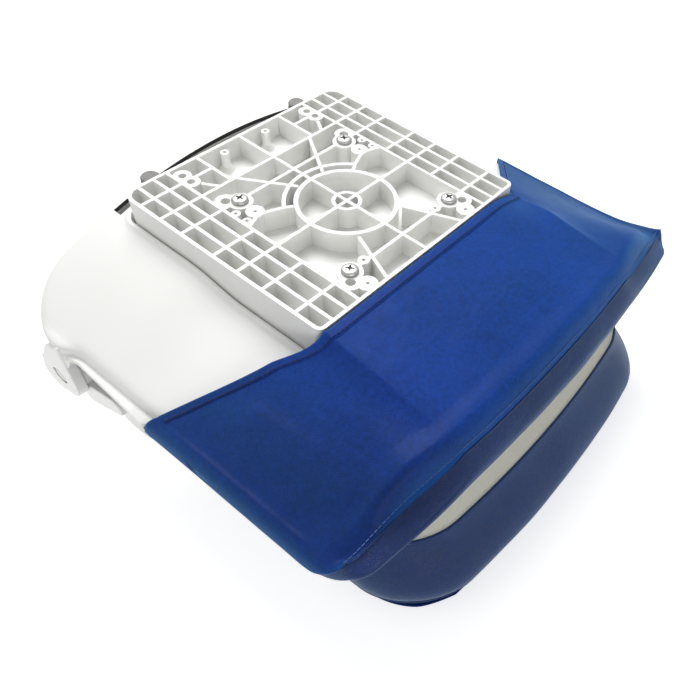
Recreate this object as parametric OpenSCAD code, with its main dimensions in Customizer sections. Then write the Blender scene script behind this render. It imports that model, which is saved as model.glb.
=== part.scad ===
// Folding padded seat, drawn folded shut and resting on its backrest, millimetres.
// X runs across the seat, the hinge is at +Y, Z is up and the floor is Z = 0.
// The seat pan is tipped by fold_angle, so its parts are drawn in the pan's own frame:
// origin at the centre of the mounting block's top face, Z square to that face.

/* [Seat pan] */
// half width of the pan's domed top
pan_w = 228; // [220:1:236]
// front edge of the pan, from the block's centre
pan_front = 219; // [205:1:225]
// rear edge of the pan, from the block's centre
pan_rear = 164; // [160:0.5:166]
// radius of the pan's rear corners in plan
pan_rear_r = 61; // [50:1:70]
// radius of the arch that crowns the pan from side to side
arch_r = 450; // [400:5:600]
// wall thickness of the moulded pan
pan_t = 4; // [3:0.25:5]
// width of the side flange where it is widest
flange_w = 9; // [5:0.5:10]

/* [Mounting block] */
// half width of the block
block_w = 125.5; // [120:0.5:126]
// front wall of the block, from its centre
block_front = 92; // [88:0.5:93]
// rear wall of the block, from its centre
block_rear = 139.5; // [132:0.5:140]
// rib thickness
rib_t = 3; // [2:0.25:3.5]
// depth of the open cells
cell_depth = 20; // [12:1:26]
// half spacing of the four block screws
screw_half = 63.5; // [60:0.5:66]
// half spacing of the four free mounting bores
bore_half = 72; // [71:0.25:73]
// radius of the free mounting bores
bore_r = 4.2; // [3.5:0.1:4.6]

/* [Hinge] */
// distance of the pin behind the block's centre, in the pan's frame
pin_y = 122; // [118:0.5:124]
// distance of the pin below the block's top face, in the pan's frame
pin_z = 124.5; // [122:0.5:127]
// pin radius
pin_r = 5; // [4:0.25:6]
// radial running clearance of the pin in its bushes
run_gap = 0.05; // [0.02:0.01:0.09]
// tip of the pan when it is folded shut
fold_angle = 7.06; // [6.5:0.02:7.5]

/* [Cushions] */
// crown of the seat cushion below its seam
seat_crown = 22; // [12:1:24]
// crown of the backrest cushion above its seam
back_crown = 20; // [10:1:22]
// cover thickness
skin_t = 1.5; // [1:0.1:2]
// height of the backrest cushion's front seam above the floor
back_seam = 79; // [72:1:82]

/* [Show] */
// which node to draw

/* [Hidden] */
$fn = 64;
hub_z = 230;        // height of the block's centre above the floor
shift_y = 36.099;    // brings the middle of the whole object over Y = 0
seat_gap = 0.1;     // gap left between parts that rest on one another
arch_drop = arch_r - sqrt(arch_r * arch_r - pan_w * pan_w);
front_bow = 19;     // how far the front edge draws back at the corners
crest_rear = -5.5;  // height of the pan's crest behind the block
crest_front = -17.5;
edge_z = -67.5;     // height of the pan's side edge
flange_z = -76;     // top of the side flange
deck_z = -80;       // underside of the side flange, where the board bears
ledge_z = -40;      // the block's foot
wall_z = -98;       // foot of the rear wall
board_t = 5;
screw_r = 3.1;
head_r = 7.25;
ear_t = 9.5;        // thickness of the pan's ears
arm_t = 11;         // thickness of the backrest's arms
arm_gap = 1;        // room for a washer between an arm and its ear
pin_over = 7.4;     // how far a pin stands out past its arm
nut_h = 6;          // height of the pin nuts
nut_gap = 0.6;      // gap between a pin nut and its arm
ear_in = pan_w;     // inner face of the ears
ear_out = ear_in + ear_t;
arm_out = ear_in - arm_gap;
arm_in = arm_out - arm_t;
bush_r = 8;
hem_front = block_front + 3; // hem of the seat's pocket along the block's front wall
cush_w = pan_w + 10;         // half width of the seat cushion at its widest
cush_front = pan_front + 17;
cush_rear = 113;
seam_front_w = cush_w + 1;   // half width of the pocket at its front seam
window_gap = 1.5;   // gap round the block in the pan's opening
slot_d = 9.5;       // depth of the grab slots through the rear edge
slot_y = pan_rear - 8.5 - slot_d;
slot_w = 80;        // half width of the middle slot
back_w = pan_w - 44;         // half width of the backrest tray
back_front = pan_front + 10;
back_rear = pan_rear + 8;
back_pad_rear = 111;
tray_z = 4;         // underside of the tray
rim_z = 45.9;       // rim that carries the backrest board
board_z = rim_z + 0.1;

white = [0.95, 0.95, 0.93];
blue = [0.13, 0.27, 0.55];
cream = [0.93, 0.92, 0.86];
grey = [0.35, 0.35, 0.36];
steel = [0.75, 0.75, 0.76];
foam_c = [0.9, 0.85, 0.65];
wood_c = [0.72, 0.57, 0.38];

function clamp(t) = min(1, max(0, t));
function mix(a, b, t) = a + (b - a) * t;
function smooth(t) = let (c = clamp(t)) c * c * (3 - 2 * c);
function arc_pt(cx, cy, r, a) = [cx + r * cos(a), cy + r * sin(a)];

// positions of the outline points along a side, closer where the flange begins and ends
side_steps = [0, 0.13, 0.28, 0.42, 0.55, 0.628, 0.6385, 0.71, 0.8, 0.89, 0.94, 0.975];
// the same for the cushions, closer where they draw in to clear the arms
pad_steps = [0, 0.2, 0.42, 0.6, 0.65, 0.705, 0.785, 0.86, 0.935];

// rounded outline: w half width, yf front, yb rear, rf and rb corner radii,
// st points along a side, e points along an end, c points round a corner
function outline(w, yf, yb, rf, rb, st, e, c) = let (n = len(st)) concat(
    [for (j = [0:e - 1]) [mix(rf - w, w - rf, j / e), yf]],
    [for (j = [0:c - 1]) arc_pt(w - rf, yf + rf, rf, -90 + 90 * j / c)],
    [for (j = [0:n - 1]) [w, mix(yf + rf, yb - rb, st[j])]],
    [for (j = [0:c - 1]) arc_pt(w - rb, yb - rb, rb, 90 * j / c)],
    [for (j = [0:e - 1]) [mix(w - rb, rb - w, j / e), yb]],
    [for (j = [0:c - 1]) arc_pt(rb - w, yb - rb, rb, 90 + 90 * j / c)],
    [for (j = [0:n - 1]) [-w, mix(yb - rb, yf + rf, j == 0 ? 0 : 1 - st[n - j])]],
    [for (j = [0:c - 1]) arc_pt(rf - w, yf + rf, rf, 180 + 90 * j / c)]);
function loop(w, yf, yb, rf, rb) = outline(w, yf, yb, rf, rb, side_steps, 10, 5);
function pad(w, yf, yb, rf, rb) = outline(w, yf, yb, rf, rb, pad_steps, 8, 4);

// a closed loop of closed sections, whose faces split the other way from point flip on,
// so that the two sides of a thin band split alike
module ring_solid(s, flip = 99) {
    n = len(s);
    m = len(s[0]);
    polyhedron(points = [for (a = s) each a],
        faces = [for (i = [0:n - 1], j = [0:m - 1], k = [0, 1])
            let (i2 = (i + 1) % n, j2 = (j + 1) % m, a = i * m + j, b = i2 * m + j,
                c = i2 * m + j2, d = i * m + j2)
            j < flip ? (k == 0 ? [a, c, d] : [a, b, c]) : (k == 0 ? [a, b, d] : [b, c, d])]);
}

function middle(r) = let (n = len(r), z = [for (p = r) p[2]])
    [0, (min([for (p = r) p[1]]) + max([for (p = r) p[1]])) / 2, (min(z) + max(z)) / 2];

function reversed(a) = [for (i = [len(a) - 1:-1:0]) a[i]];

// rings stacked upward from first to last, each end closed by a fan to the height given
module skin_solid(rings, z0, z1) {
    k = len(rings);
    n = len(rings[0]);
    c0 = middle(rings[0]);
    c1 = middle(rings[k - 1]);
    polyhedron(points = concat([for (r = rings) each r], [[0, c0[1], z0], [0, c1[1], z1]]),
        faces = concat(
            [for (i = [0:k - 2], j = [0:n - 1], t = [0, 1]) let (j2 = (j + 1) % n)
                t == 0 ? [i * n + j, (i + 1) * n + j, (i + 1) * n + j2]
                       : [i * n + j, (i + 1) * n + j2, i * n + j2]],
            [for (j = [0:n - 1]) [k * n, j, (j + 1) % n]],
            [for (j = [0:n - 1]) [k * n + 1, (k - 1) * n + (j + 1) % n, (k - 1) * n + j]]));
}

// a sheet between two grids of equal size, rows run front to back, columns left to right
module slab(top, bottom) {
    r = len(top);
    c = len(top[0]);
    n = r * c;
    polyhedron(points = concat([for (a = top) each a], [for (a = bottom) each a]),
        faces = concat(
            [for (i = [0:r - 2], j = [0:c - 2], t = [0, 1])
                let (a = i * c + j, b = a + 1, d = a + c, e = d + 1)
                t == 0 ? [a, d, e] : [a, e, b]],
            [for (i = [0:r - 2], j = [0:c - 2], t = [0, 1])
                let (a = n + i * c + j, b = a + 1, d = a + c, e = d + 1)
                t == 0 ? [a, e, d] : [a, b, e]],
            [for (i = [0:r - 2], t = [0, 1]) let (a = i * c, d = a + c)
                t == 0 ? [a, n + a, n + d] : [a, n + d, d]],
            [for (i = [0:r - 2], t = [0, 1]) let (a = i * c + c - 1, d = a + c)
                t == 0 ? [a, n + d, n + a] : [a, d, n + d]],
            [for (j = [0:c - 2], t = [0, 1]) let (a = j, b = j + 1)
                t == 0 ? [a, n + b, n + a] : [a, b, n + b]],
            [for (j = [0:c - 2], t = [0, 1]) let (a = (r - 1) * c + j, b = a + 1)
                t == 0 ? [a, n + a, n + b] : [a, n + b, b]]));
}

module seat_frame() { translate([0, shift_y, hub_z]) rotate([fold_angle, 0, 0]) children(); }
module floor_frame() { translate([0, shift_y, 0]) children(); }
module along_x(x) { translate([x, 0, 0]) rotate([90, 0, 90]) children(); }
module both() { children(); mirror([1, 0, 0]) children(); }

// heights of the pan's domed face
function crest(y) = mix(crest_rear, crest_front, smooth((55 - y) / 60));
function arch(x) = let (a = min(abs(x), pan_w)) (arch_r - sqrt(arch_r * arch_r - a * a)) / arch_drop;
function nose(y) = pow(clamp((57 - pan_front - y) / 57), 2);
function pan_top(p) = mix(crest(p[1]), edge_z, 1 - (1 - arch(p[0])) * (1 - nose(p[1])));
function lift(p, z) = [p[0], p[1], z];

// the pan widens a little at its ears
function flare(p) = [p[0] * (1 + 0.035 * smooth((p[1] - 78) / 24) * pow(clamp(abs(p[0]) / 190), 6)), p[1]];
function pan_loop(o) = [for (p = loop(pan_w - o, o - pan_front, pan_rear - o, 44 - o, pan_rear_r - o))
    bow(flare(p), -150, front_bow)];
function window_loop(o) = loop(block_w + window_gap + o, -block_front - 2 - o, block_rear + window_gap + o,
    3.5 + max(o, -3), 12 + o);
function flanged(y) = smooth((100 - y) / 14);
function flange_at(y) = y < 1 ? 2 : mix(flange_w, 5, clamp(y / 85)) * flanged(y);

function seat_section(wi, w0, w3, w4, e8, e4, e1, e0, e35, em, i) =
    let (p0 = e0[i], f = flanged(p0[1]), fw = flange_at(p0[1]), dir = em[i] - e0[i],
        pf = p0 + dir * fw, low = mix(wall_z, deck_z, f), ze = pan_top(p0),
        collar = pan_top(w3[i]) + 1.6)
    concat([lift(wi[i], ledge_z - 4), lift(wi[i], ledge_z - seat_gap), lift(w0[i], ledge_z - seat_gap),
        lift(w0[i], collar), lift(w3[i], collar), lift(w4[i], pan_top(w4[i]))],
        [for (a = [0.2, 0.4, 0.6, 0.8, 1]) let (q = mix(w4[i], e8[i], a)) lift(q, pan_top(q))],
        [lift(e4[i], pan_top(e4[i]) - 0.4), lift(e1[i], pan_top(e1[i]) - 1.6), lift(p0, ze - 4.5),
        lift(p0, mix(min(-60, ze - 8), flange_z, f)), lift(pf, mix(-90, flange_z, f)), lift(pf, low),
        lift(e35[i], low), lift(e35[i], ze - 9)],
        [for (a = [0.97, 0.65, 0.3]) let (q = mix(w4[i], e8[i], a)) lift(q, pan_top(q) - pan_t)],
        [lift(w4[i], pan_top(w4[i]) - pan_t), lift(w4[i], ledge_z - 4)]);

module pan_body() {
    wi = window_loop(-10);
    w0 = window_loop(0);
    w3 = window_loop(3.5);
    w4 = window_loop(4.4);
    e8 = pan_loop(8);
    e4 = pan_loop(4);
    e1 = pan_loop(1.4);
    e0 = pan_loop(0);
    e35 = pan_loop(3.5);
    em = pan_loop(-1);
    ring_solid([for (i = [0:len(e0) - 1]) seat_section(wi, w0, w3, w4, e8, e4, e1, e0, e35, em, i)]);
}

bumper_x = slot_w + 8;
bumper_r = 8.5;
bumper_y = pan_rear - 10.5;
bumper_z = -14;
board_bosses = [[pan_w - 28, 54 - pan_front], [pan_w - 24, -40], [pan_w - 24, 45]];

module ear() {
    along_x(ear_in) linear_extrude(ear_out - ear_in) difference() {
        union() {
            translate([pin_y, -pin_z]) circle(24);
            translate([pin_y + 14, -pin_z - 13]) circle(16);
            polygon([[pin_y - 24, -pin_z], [pin_y - 24, flange_z + 5.5], [pin_y - 4, flange_z - 4],
                [pin_y + 7, flange_z - 17], [pin_y + 28.8, -pin_z - 6], [pin_y + 8, -pin_z - 24],
                [pin_y - 2, -pin_z - 23.5]]);
        }
        translate([pin_y, -pin_z]) circle(pin_r + 0.03);
    }
}

module seat_shell() {
    color(white) seat_frame() difference() {
        union() {
            pan_body();
            translate([3.5 - block_w, 3 - block_front, ledge_z - 3.7])
                cube([2 * block_w - 7, block_front + block_rear - 6.5, 3.2]);
            both() ear();
            both() translate([bumper_x, bumper_y, bumper_z - 5]) cylinder(r = bumper_r + 0.9, h = 5);
            both() for (b = board_bosses)
                translate([b[0], b[1], deck_z]) cylinder(r = 6, h = pan_top(b) - deck_z - 3.4);
        }
        // grab slots through the rear edge, either side of the bumpers' bridges
        translate([-slot_w, slot_y, -32]) cube([2 * slot_w, slot_d, 40]);
        both() translate([slot_w + 18, slot_y, -48]) cube([30, slot_d, 50]);
        both() translate([bumper_x, bumper_y, bumper_z]) {
            translate([0, 0, -12]) cylinder(r = 2.7, h = 13);
            cylinder(r = bumper_r + 0.4, h = 9);
        }
        for (x = [-1, 1], y = [-1, 1])
            translate([x * screw_half, y * screw_half, ledge_z - 6]) cylinder(r = 3.4, h = 8);
        both() along_x(ear_out - 3) translate([pin_y, -pin_z, 0]) cylinder(r = 9, h = 4);
        both() for (b = board_bosses)
            translate([b[0], b[1], deck_z - 1]) cylinder(r = 1.9, h = 14);
    }
}

// ribs of the block, in plan
module bar(p, q, t = rib_t) {
    d = q - p;
    translate(p) rotate(atan2(d[1], d[0])) translate([0, -t / 2]) square([norm(d), t]);
}
module band(r0, r1) { difference() { circle(r1); circle(r0); } }
module rounded(x0, y0, x1, y1, rf, rb) {
    polygon(concat(
        [for (a = [0:15:90]) arc_pt(x1 - rf, y0 + rf, rf, a - 90)],
        [for (a = [0:15:90]) arc_pt(x1 - rb, y1 - rb, rb, a)],
        [for (a = [0:15:90]) arc_pt(x0 + rb, y1 - rb, rb, a + 90)],
        [for (a = [0:15:90]) arc_pt(x0 + rf, y0 + rf, rf, a + 180)]));
}
module block_plan(o) { rounded(-block_w + o, -block_front + o, block_w - o, block_rear - o, 6.5 - o, 14 - o); }

rib_x = [81, 94.5, 110];
cross_y = [-64, -28.5, 0, 27, 65, 91, 116];
module block_ribs() {
    for (s = [-1, 1]) {
        for (x = rib_x) bar([s * x, -block_front + 1], [s * x, block_rear - 1]);
        for (y = cross_y) bar([s * 81, y], [s * (block_w - 1), y]);
        bar([s * 49, 91], [s * 49, block_rear - 1]);
        bar([s * 49, 116], [s * 81, 116]);
        bar([s * 45, 91], [s * 15, 44]);
        bar([s * 28, -40], [s * 49.5, -block_front + 1]);
        bar([s * 37, 27], [s * 42, 30]);
        bar([s * 42, 30.5], [s * 64, 40]);
        bar([s * 64, 40], [s * 81, 33]);
        bar([s * 70, 105], [s * 62, 92]);
    }
    for (y = [-64, 0, 65, 91]) bar([-81, y], [81, y]);
    bar([0, -block_front + 1], [0, block_rear - 1]);
    band(41.5, 45.5);
    band(10, 13.2);
    intersection() {
        band(52, 55.5);
        polygon([[0, 0], [70, 49], [70, 70], [-70, 70], [-70, 49]]);
    }
}
module block_bosses() {
    for (s = [-1, 1]) {
        for (t = [-1, 1]) {
            translate([s * screw_half, t * screw_half]) circle(11);
            translate([s * bore_half, t * bore_half]) circle(9);
        }
        translate([s * 64, 44.5]) circle(8);
        for (y = [40, 53.5]) translate([s * 77, y]) circle(4);
        translate([s * 46, -62]) circle(5);
        translate([s * 63.7, -82.5]) circle(8.5);
        for (y = [113, 124.5]) translate([s * 74.5, y]) circle(8);
    }
}
module mount_block() {
    color(white) seat_frame() difference() {
        union() {
            translate([0, 0, ledge_z]) linear_extrude(-ledge_z) difference() {
                block_plan(0);
                block_plan(3.2);
            }
            translate([0, 0, -cell_depth - 2.5]) linear_extrude(2.5) block_plan(1);
            translate([0, 0, -cell_depth - 0.5]) linear_extrude(cell_depth + 0.5) {
                intersection() {
                    block_plan(1);
                    union() {
                        block_ribs();
                        block_bosses();
                    }
                }
            }
            both() translate([24.5, 129, -cell_depth - 0.5]) {
                cylinder(r1 = 8, r2 = 4, h = 4);
                cylinder(r = 4, h = 18.5);
            }
            for (s = [-1, 1], t = [-1, 1]) {
                translate([s * screw_half, t * screw_half, ledge_z]) cylinder(r = 11, h = 20);
                translate([s * bore_half, t * bore_half, ledge_z]) cylinder(r = 9, h = 20);
            }
        }
        for (s = [-1, 1]) {
            for (t = [-1, 1]) {
                translate([s * screw_half, t * screw_half, ledge_z - 1]) cylinder(r = 3.4, h = 42);
                translate([s * bore_half, t * bore_half, ledge_z - 1]) cylinder(r = bore_r, h = 42);
                // open quarters of the hub
                translate([s * 5.2, t * 5.2, -cell_depth]) cylinder(r = 2.6, h = 21);
            }
            translate([s * 64, 44.5, -15]) cylinder(r = 1.5, h = 16);
            for (y = [40, 53.5]) translate([s * 77, y, -15]) cylinder(r = 1.5, h = 16);
            translate([s * 46, -62, -15]) cylinder(r = 1.5, h = 16);
            translate([s * 63.7, -82.5, -15]) cylinder(r = 1.5, h = 16);
            for (y = [113, 124.5]) translate([s * 74.5, y, -18]) cylinder(r = 3.5, h = 19);
            translate([s * 24.5, 129, -15]) cylinder(r = 1.5, h = 16);
        }
    }
}

module pan_head(r, h, shank_r, length) {
    difference() {
        union() {
            rotate_extrude() polygon([[0, 0], [r, 0], [r, h * 0.42], [r * 0.93, h * 0.68],
                [r * 0.78, h * 0.87], [r * 0.55, h * 0.97], [0, h]]);
            translate([0, 0, -length]) cylinder(r = shank_r, h = length + 0.5);
        }
        for (a = [0, 90]) rotate(a) translate([-r * 0.5, -r * 0.11, h * 0.3]) cube([r, r * 0.22, h]);
        translate([0, 0, h * 0.2]) cylinder(r1 = r * 0.14, r2 = r * 0.26, h = h);
    }
}
module block_screws() {
    color(steel) seat_frame() for (x = [-1, 1], y = [-1, 1])
        translate([x * screw_half, y * screw_half, 0.05]) rotate(x * 20 + y * 33)
            pan_head(head_r, 3.9, screw_r, 52);
}
module hex_nut(r, h, hole) {
    difference() {
        cylinder(r = r, h = h, $fn = 6);
        translate([0, 0, -1]) cylinder(r = hole, h = h + 2);
    }
}
module block_nuts() {
    color(steel) seat_frame() for (x = [-1, 1], y = [-1, 1])
        translate([x * screw_half, y * screw_half, ledge_z - 4.1 - 5.5]) hex_nut(6.4, 5.5, screw_r + 0.03);
}

module bumpers() {
    color(grey) seat_frame() both() translate([bumper_x, bumper_y, bumper_z + 0.05]) {
        rotate_extrude() polygon([[0, 0], [bumper_r, 0], [bumper_r, 5], [bumper_r - 0.8, 6], [0, 6]]);
        translate([0, 0, -11]) cylinder(r = 2.6, h = 11.5);
        translate([0, 0, -11]) cylinder(r1 = 3, r2 = 4.5, h = 2.6);
    }
}

// seat cushion: outlines narrow towards the hinge to clear the arms
function waist(p) =
    [p[0] * (1 - 0.021 * smooth((p[1] + 12) / 14)) * (1 - 0.112 * smooth((p[1] - 28) / 45)), p[1]];
function bow(p, y0, d) = [p[0], p[1] + d * pow(abs(p[0]) / (cush_w - 1), 2.2) * smooth((y0 - p[1]) / 60)];
function pad_loop(w, yf, yb, rf, rb) = [for (p = pad(w, yf, yb, rf, rb)) bow(waist(p), -150, front_bow)];
function cush_loop(o, r = 26) = pad_loop(cush_w - o, o - cush_front, cush_rear - o, r - o, 20 - o);

// the pocket panel: hem and front seam in plan, and its height
hem_turn = block_w - 13.5; // where the hem starts to run back along the block's side
function hem_y(x) = -hem_front + (hem_front - 2) * smooth((abs(x) - hem_turn) / (seam_front_w - hem_turn));
function seam_y(x) = -cush_front + (front_bow + 1) * pow(abs(x) / (cush_w - 1), 2.2);
fold_x = block_w - 1.5; // the pocket is flat between the block's corners and falls away outside them
function fall(x) = clamp((abs(x) - fold_x) / (seam_front_w - fold_x));
// the cover's far front corner curls up sooner than the near one
function pocket_at(x, v, g) = let (zc = mix(0, -21, v), c = x > 0 ? 0.5 : 0.8,
    zs = mix(-78.5, -53, pow(clamp((v - c) / (1 - c)), 2)))
    mix(zc, zs, g);
// it falls at once along the hem and the front seam, and is drawn from corner to corner between them
function pocket_edge(x, v) = pocket_at(x, v, pow(fall(x), 0.75));
function pocket_drawn(x, v) = let (g = pow(fall(x), 0.75), k = smooth((v - 0.1) / 0.3) * smooth((1 - v) / 0.06))
    pocket_at(x, v, min(g, mix(g, smooth(pow(fall(x), 1.9)), k)));
function pocket_z(x, y, v) = max(pocket_drawn(x, v),
    abs(x) < pan_w + 4 && y > -pan_front - 3 ? pan_top([x, y]) + skin_t + 1.2 : -99);
function pocket_v(p) = clamp((hem_y(p[0]) - p[1]) / (hem_y(p[0]) - seam_y(p[0])));

function top_edge(p) = p[1] > -14 ? deck_z - 0.8
    : pocket_edge(p[0], pocket_v(p)) - skin_t - 1 - 2.5 * smooth((-p[1] - 150) / 30);
function seam_z(p) = let (y = p[1])
    y < -178 ? mix(-66, -84, smooth((y + cush_front) / 58))
        : (y < 0 ? mix(-84, -95, (y + 178) / 178) : -95 - 0.09 * y);

// the band swells forward between its seams along the front
function swell(l, d) = [for (p = l) [p[0], p[1] - d * smooth((-185 - p[1]) / 30)]];
// inward rings of the crowned sitting face
function crowned(base, a, zc, h, o) = [for (p = base)
    let (q = [p[0] * a, mix((cush_rear - cush_front) / 2, p[1], a)])
    lift(q, mix(zc, seam_z(p), pow(a, 4)) - h * pow(1 - pow(a, 3.2), 0.4) - o)];
seat_mid_z = -93;

module seat_boxing() {
    color(blue) seat_frame() ring_solid([for (i = [0:len(cush_loop(0)) - 1])
        let (t0 = cush_loop(1), b = swell(cush_loop(1), 7), s0 = swell(cush_loop(4), 6),
            t1 = cush_loop(1 + skin_t), b1 = swell(cush_loop(1 + skin_t), 7),
            s1 = swell(cush_loop(4 + skin_t), 6))
        [lift(t0[i], top_edge(t0[i])), lift(b[i], mix(top_edge(t0[i]), seam_z(s0[i]), 0.55)),
            lift(s0[i], seam_z(s0[i])), lift(s1[i], seam_z(s0[i]) + 0.3),
            lift(b1[i], mix(top_edge(t0[i]), seam_z(s0[i]), 0.53)), lift(t1[i], top_edge(t0[i]))]], 3);
}

module seat_foam() {
    in0 = pad_loop(cush_w - 11.5, 26.5 - cush_front, cush_rear - 6.7, 38, 14);
    in1 = pad_loop(cush_w - 7, 12.5 - cush_front, cush_rear - 4.8, 43, 15);
    o0 = cush_loop(3.5);
    o1 = swell(cush_loop(3.5), 6.5);
    o2 = swell(cush_loop(6.5), 5.5);
    c = o2;
    color(foam_c) seat_frame() skin_solid(reversed([
        [for (p = in0) lift(p, deck_z - board_t - 0.4)],
        [for (p = in0) lift(p, deck_z - 1)],
        [for (p = in1) lift(p, deck_z - 1)],
        [for (i = [0:len(o0) - 1]) lift(in1[i],
            min(top_edge(o0[i]) - 0.8, deck_z - 0.9 + 99 * smooth((-in1[i][1] - 200) / 30)))],
        [for (p = o0) lift(p, top_edge(p) - 0.8)],
        [for (i = [0:len(o1) - 1]) lift(o1[i], mix(top_edge(o0[i]), seam_z(o2[i]), 0.52))],
        [for (p = o2) lift(p, seam_z(p) + 0.3)],
        for (a = [0.965, 0.9, 0.76, 0.56, 0.3]) crowned(c, a, seat_mid_z, seat_crown - 2.4, -0.5)]),
        seat_mid_z - seat_crown + 2.9, deck_z - board_t - 0.4);
}

module seat_panel() {
    c = swell(cush_loop(4.2), 6);
    d = swell(cush_loop(5.9), 6);
    color(cream) seat_frame() skin_solid(reversed([
        for (a = [0.3, 0.56, 0.76, 0.9, 0.965]) crowned(d, a, seat_mid_z, seat_crown - skin_t, 0),
        [for (p = d) lift(p, seam_z(p) - 0.35)],
        [for (p = c) lift(p, seam_z(p) - 0.35)],
        [for (p = c) lift(p, seam_z(p) - 1.7)],
        for (a = [0.965, 0.9, 0.76, 0.56, 0.3]) crowned(c, a, seat_mid_z, seat_crown, 0)]),
        seat_mid_z - seat_crown, seat_mid_z - seat_crown + skin_t);
}

pocket_u = [0, 0.25, 0.42, 0.5, 0.55, 0.6, 0.66, 0.72, 0.79, 0.86, 0.92, 0.96, 1];
pocket_cols = concat([for (k = [len(pocket_u) - 1:-1:1]) -pocket_u[k]], pocket_u);
pocket_rows = [1, 0.95, 0.9, 0.84, 0.77, 0.7, 0.6, 0.45, 0.25, 0.1, 0];
function pocket_pt(u, v, dz, dy = 0) = let (x = u * seam_front_w,
    xr = x * (1 - 0.01 * pow(clamp((v - 0.88) / 0.12), 2)), y = mix(hem_y(x), seam_y(xr), v) - dy)
    [xr, y, pocket_z(x, y, v) + dz];

module seat_pocket() {
    color(blue) seat_frame() slab(
        [for (v = pocket_rows) [for (u = pocket_cols) pocket_pt(u, v, 0)]],
        [for (v = pocket_rows) [for (u = pocket_cols) pocket_pt(u, v, -skin_t)]]);
}
module seat_hem() {
    color(blue) seat_frame() slab(
        [for (y = [9, 5, 0.5]) [for (u = pocket_cols) pocket_pt(u, 0, y > 8 ? 0.9 : 1.6, y)]],
        [for (y = [9, 5, 0.5]) [for (u = pocket_cols) pocket_pt(u, 0, 0.3, y)]]);
}

module seat_board() {
    color(wood_c) seat_frame() difference() {
        translate([0, 0, deck_z - seat_gap - board_t]) linear_extrude(board_t)
            polygon(pad_loop(cush_w - 12.5, 28 - cush_front, cush_rear - 8, 36, 13));
        both() for (b = board_bosses) translate([b[0], b[1], deck_z - 9]) {
            cylinder(r = 2.3, h = 12);
            translate([0, 0, 3.8]) cylinder(r1 = 3.9, r2 = 2.3, h = 1.9);
        }
    }
}
module seat_board_screws() {
    color(steel) seat_frame() both() for (b = board_bosses)
        translate([b[0], b[1], deck_z - seat_gap - board_t + 0.05]) {
            cylinder(r = 1.85, h = 16);
            cylinder(r1 = 3.6, r2 = 1.85, h = 1.6);
        }
}

module pin(s) {
    color(steel) seat_frame() mirror([s < 0 ? 1 : 0, 0, 0]) translate([0, pin_y, -pin_z]) rotate([0, 90, 0]) {
        translate([0, 0, arm_in - pin_over]) cylinder(r = pin_r, h = ear_out - 2.5 - arm_in + pin_over);
        translate([0, 0, ear_out - 3 + 0.05]) cylinder(r = 7.5, h = 1.6);
        translate([0, 0, ear_out - 1.4]) cylinder(r1 = 7.5, r2 = 6.3, h = 1);
    }
}
module nut(s) {
    color(steel) seat_frame() mirror([s < 0 ? 1 : 0, 0, 0])
        translate([arm_in - nut_gap - nut_h, pin_y, -pin_z]) rotate([0, 90, 0])
            hex_nut(8.6, nut_h, pin_r + 0.03);
}
module pin_left() { pin(-1); }
module pin_right() { pin(1); }
module nut_left() { nut(-1); }
module nut_right() { nut(1); }

// the pin in the floor's frame
hinge_y = pin_y * cos(fold_angle) + pin_z * sin(fold_angle);
hinge_z = hub_z + pin_y * sin(fold_angle) - pin_z * cos(fold_angle);

// backrest
function flare_back(p) = [p[0] * (1 + 0.11 * smooth((p[1] - 96) / 18)), p[1]];
function bow_back(p) = [p[0], p[1] + 7 * pow(abs(p[0]) / 120, 2) * smooth((-120 - p[1]) / 80)];
function tray_loop(o) = [for (p = loop(back_w - o, o - back_front, back_rear - o, 62 - o, 30 - min(o, 26)))
    bow_back(flare_back(p))];
// outline of the cushion, o outside the tray's side, f outside its front and d inward
function cover_loop(o, f, rf, d = 0) =
    [for (p = pad(back_w + o - d, d - back_front - f, back_pad_rear - d, rf - d, 18 - d)) bow_back(p)];
function rim(p) = mix(rim_z, 58, smooth((p[1] - 113) / 8));

lobe_a = [125, 98, 14];
lobe_b = [80, 108, 10];
function tangent(a, b, s) = let (d = [b[0] - a[0], b[1] - a[1]], l = norm(d),
    t = atan2(d[1], d[0]), k = acos((a[2] - b[2]) / l), q = t + s * k)
    [[a[0] + a[2] * cos(q), a[1] + a[2] * sin(q)], [b[0] + b[2] * cos(q), b[1] + b[2] * sin(q)]];

module arm() {
    along_x(arm_in) linear_extrude(arm_out - arm_in) difference() {
        union() {
            translate([hinge_y, hinge_z]) circle(20);
            translate([lobe_a[0], lobe_a[1]]) circle(lobe_a[2]);
            translate([lobe_b[0], lobe_b[1]]) circle(lobe_b[2]);
            polygon(concat(tangent(lobe_a, lobe_b, 1), reversed(tangent(lobe_a, lobe_b, -1))));
        }
        translate([hinge_y, hinge_z]) circle(bush_r + 0.02);
    }
    // gusset from the tray's side up to the arm
    translate([0, 142, 0]) rotate([90, 0, 0]) linear_extrude(26)
        polygon([[back_w + 12, 16], [back_w + 19, 16], [back_w + 19.5, 50], [arm_in + 1, 66], [arm_in + 1, 96],
            [arm_in - 16, 96], [back_w + 12, 60]]);
}

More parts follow.
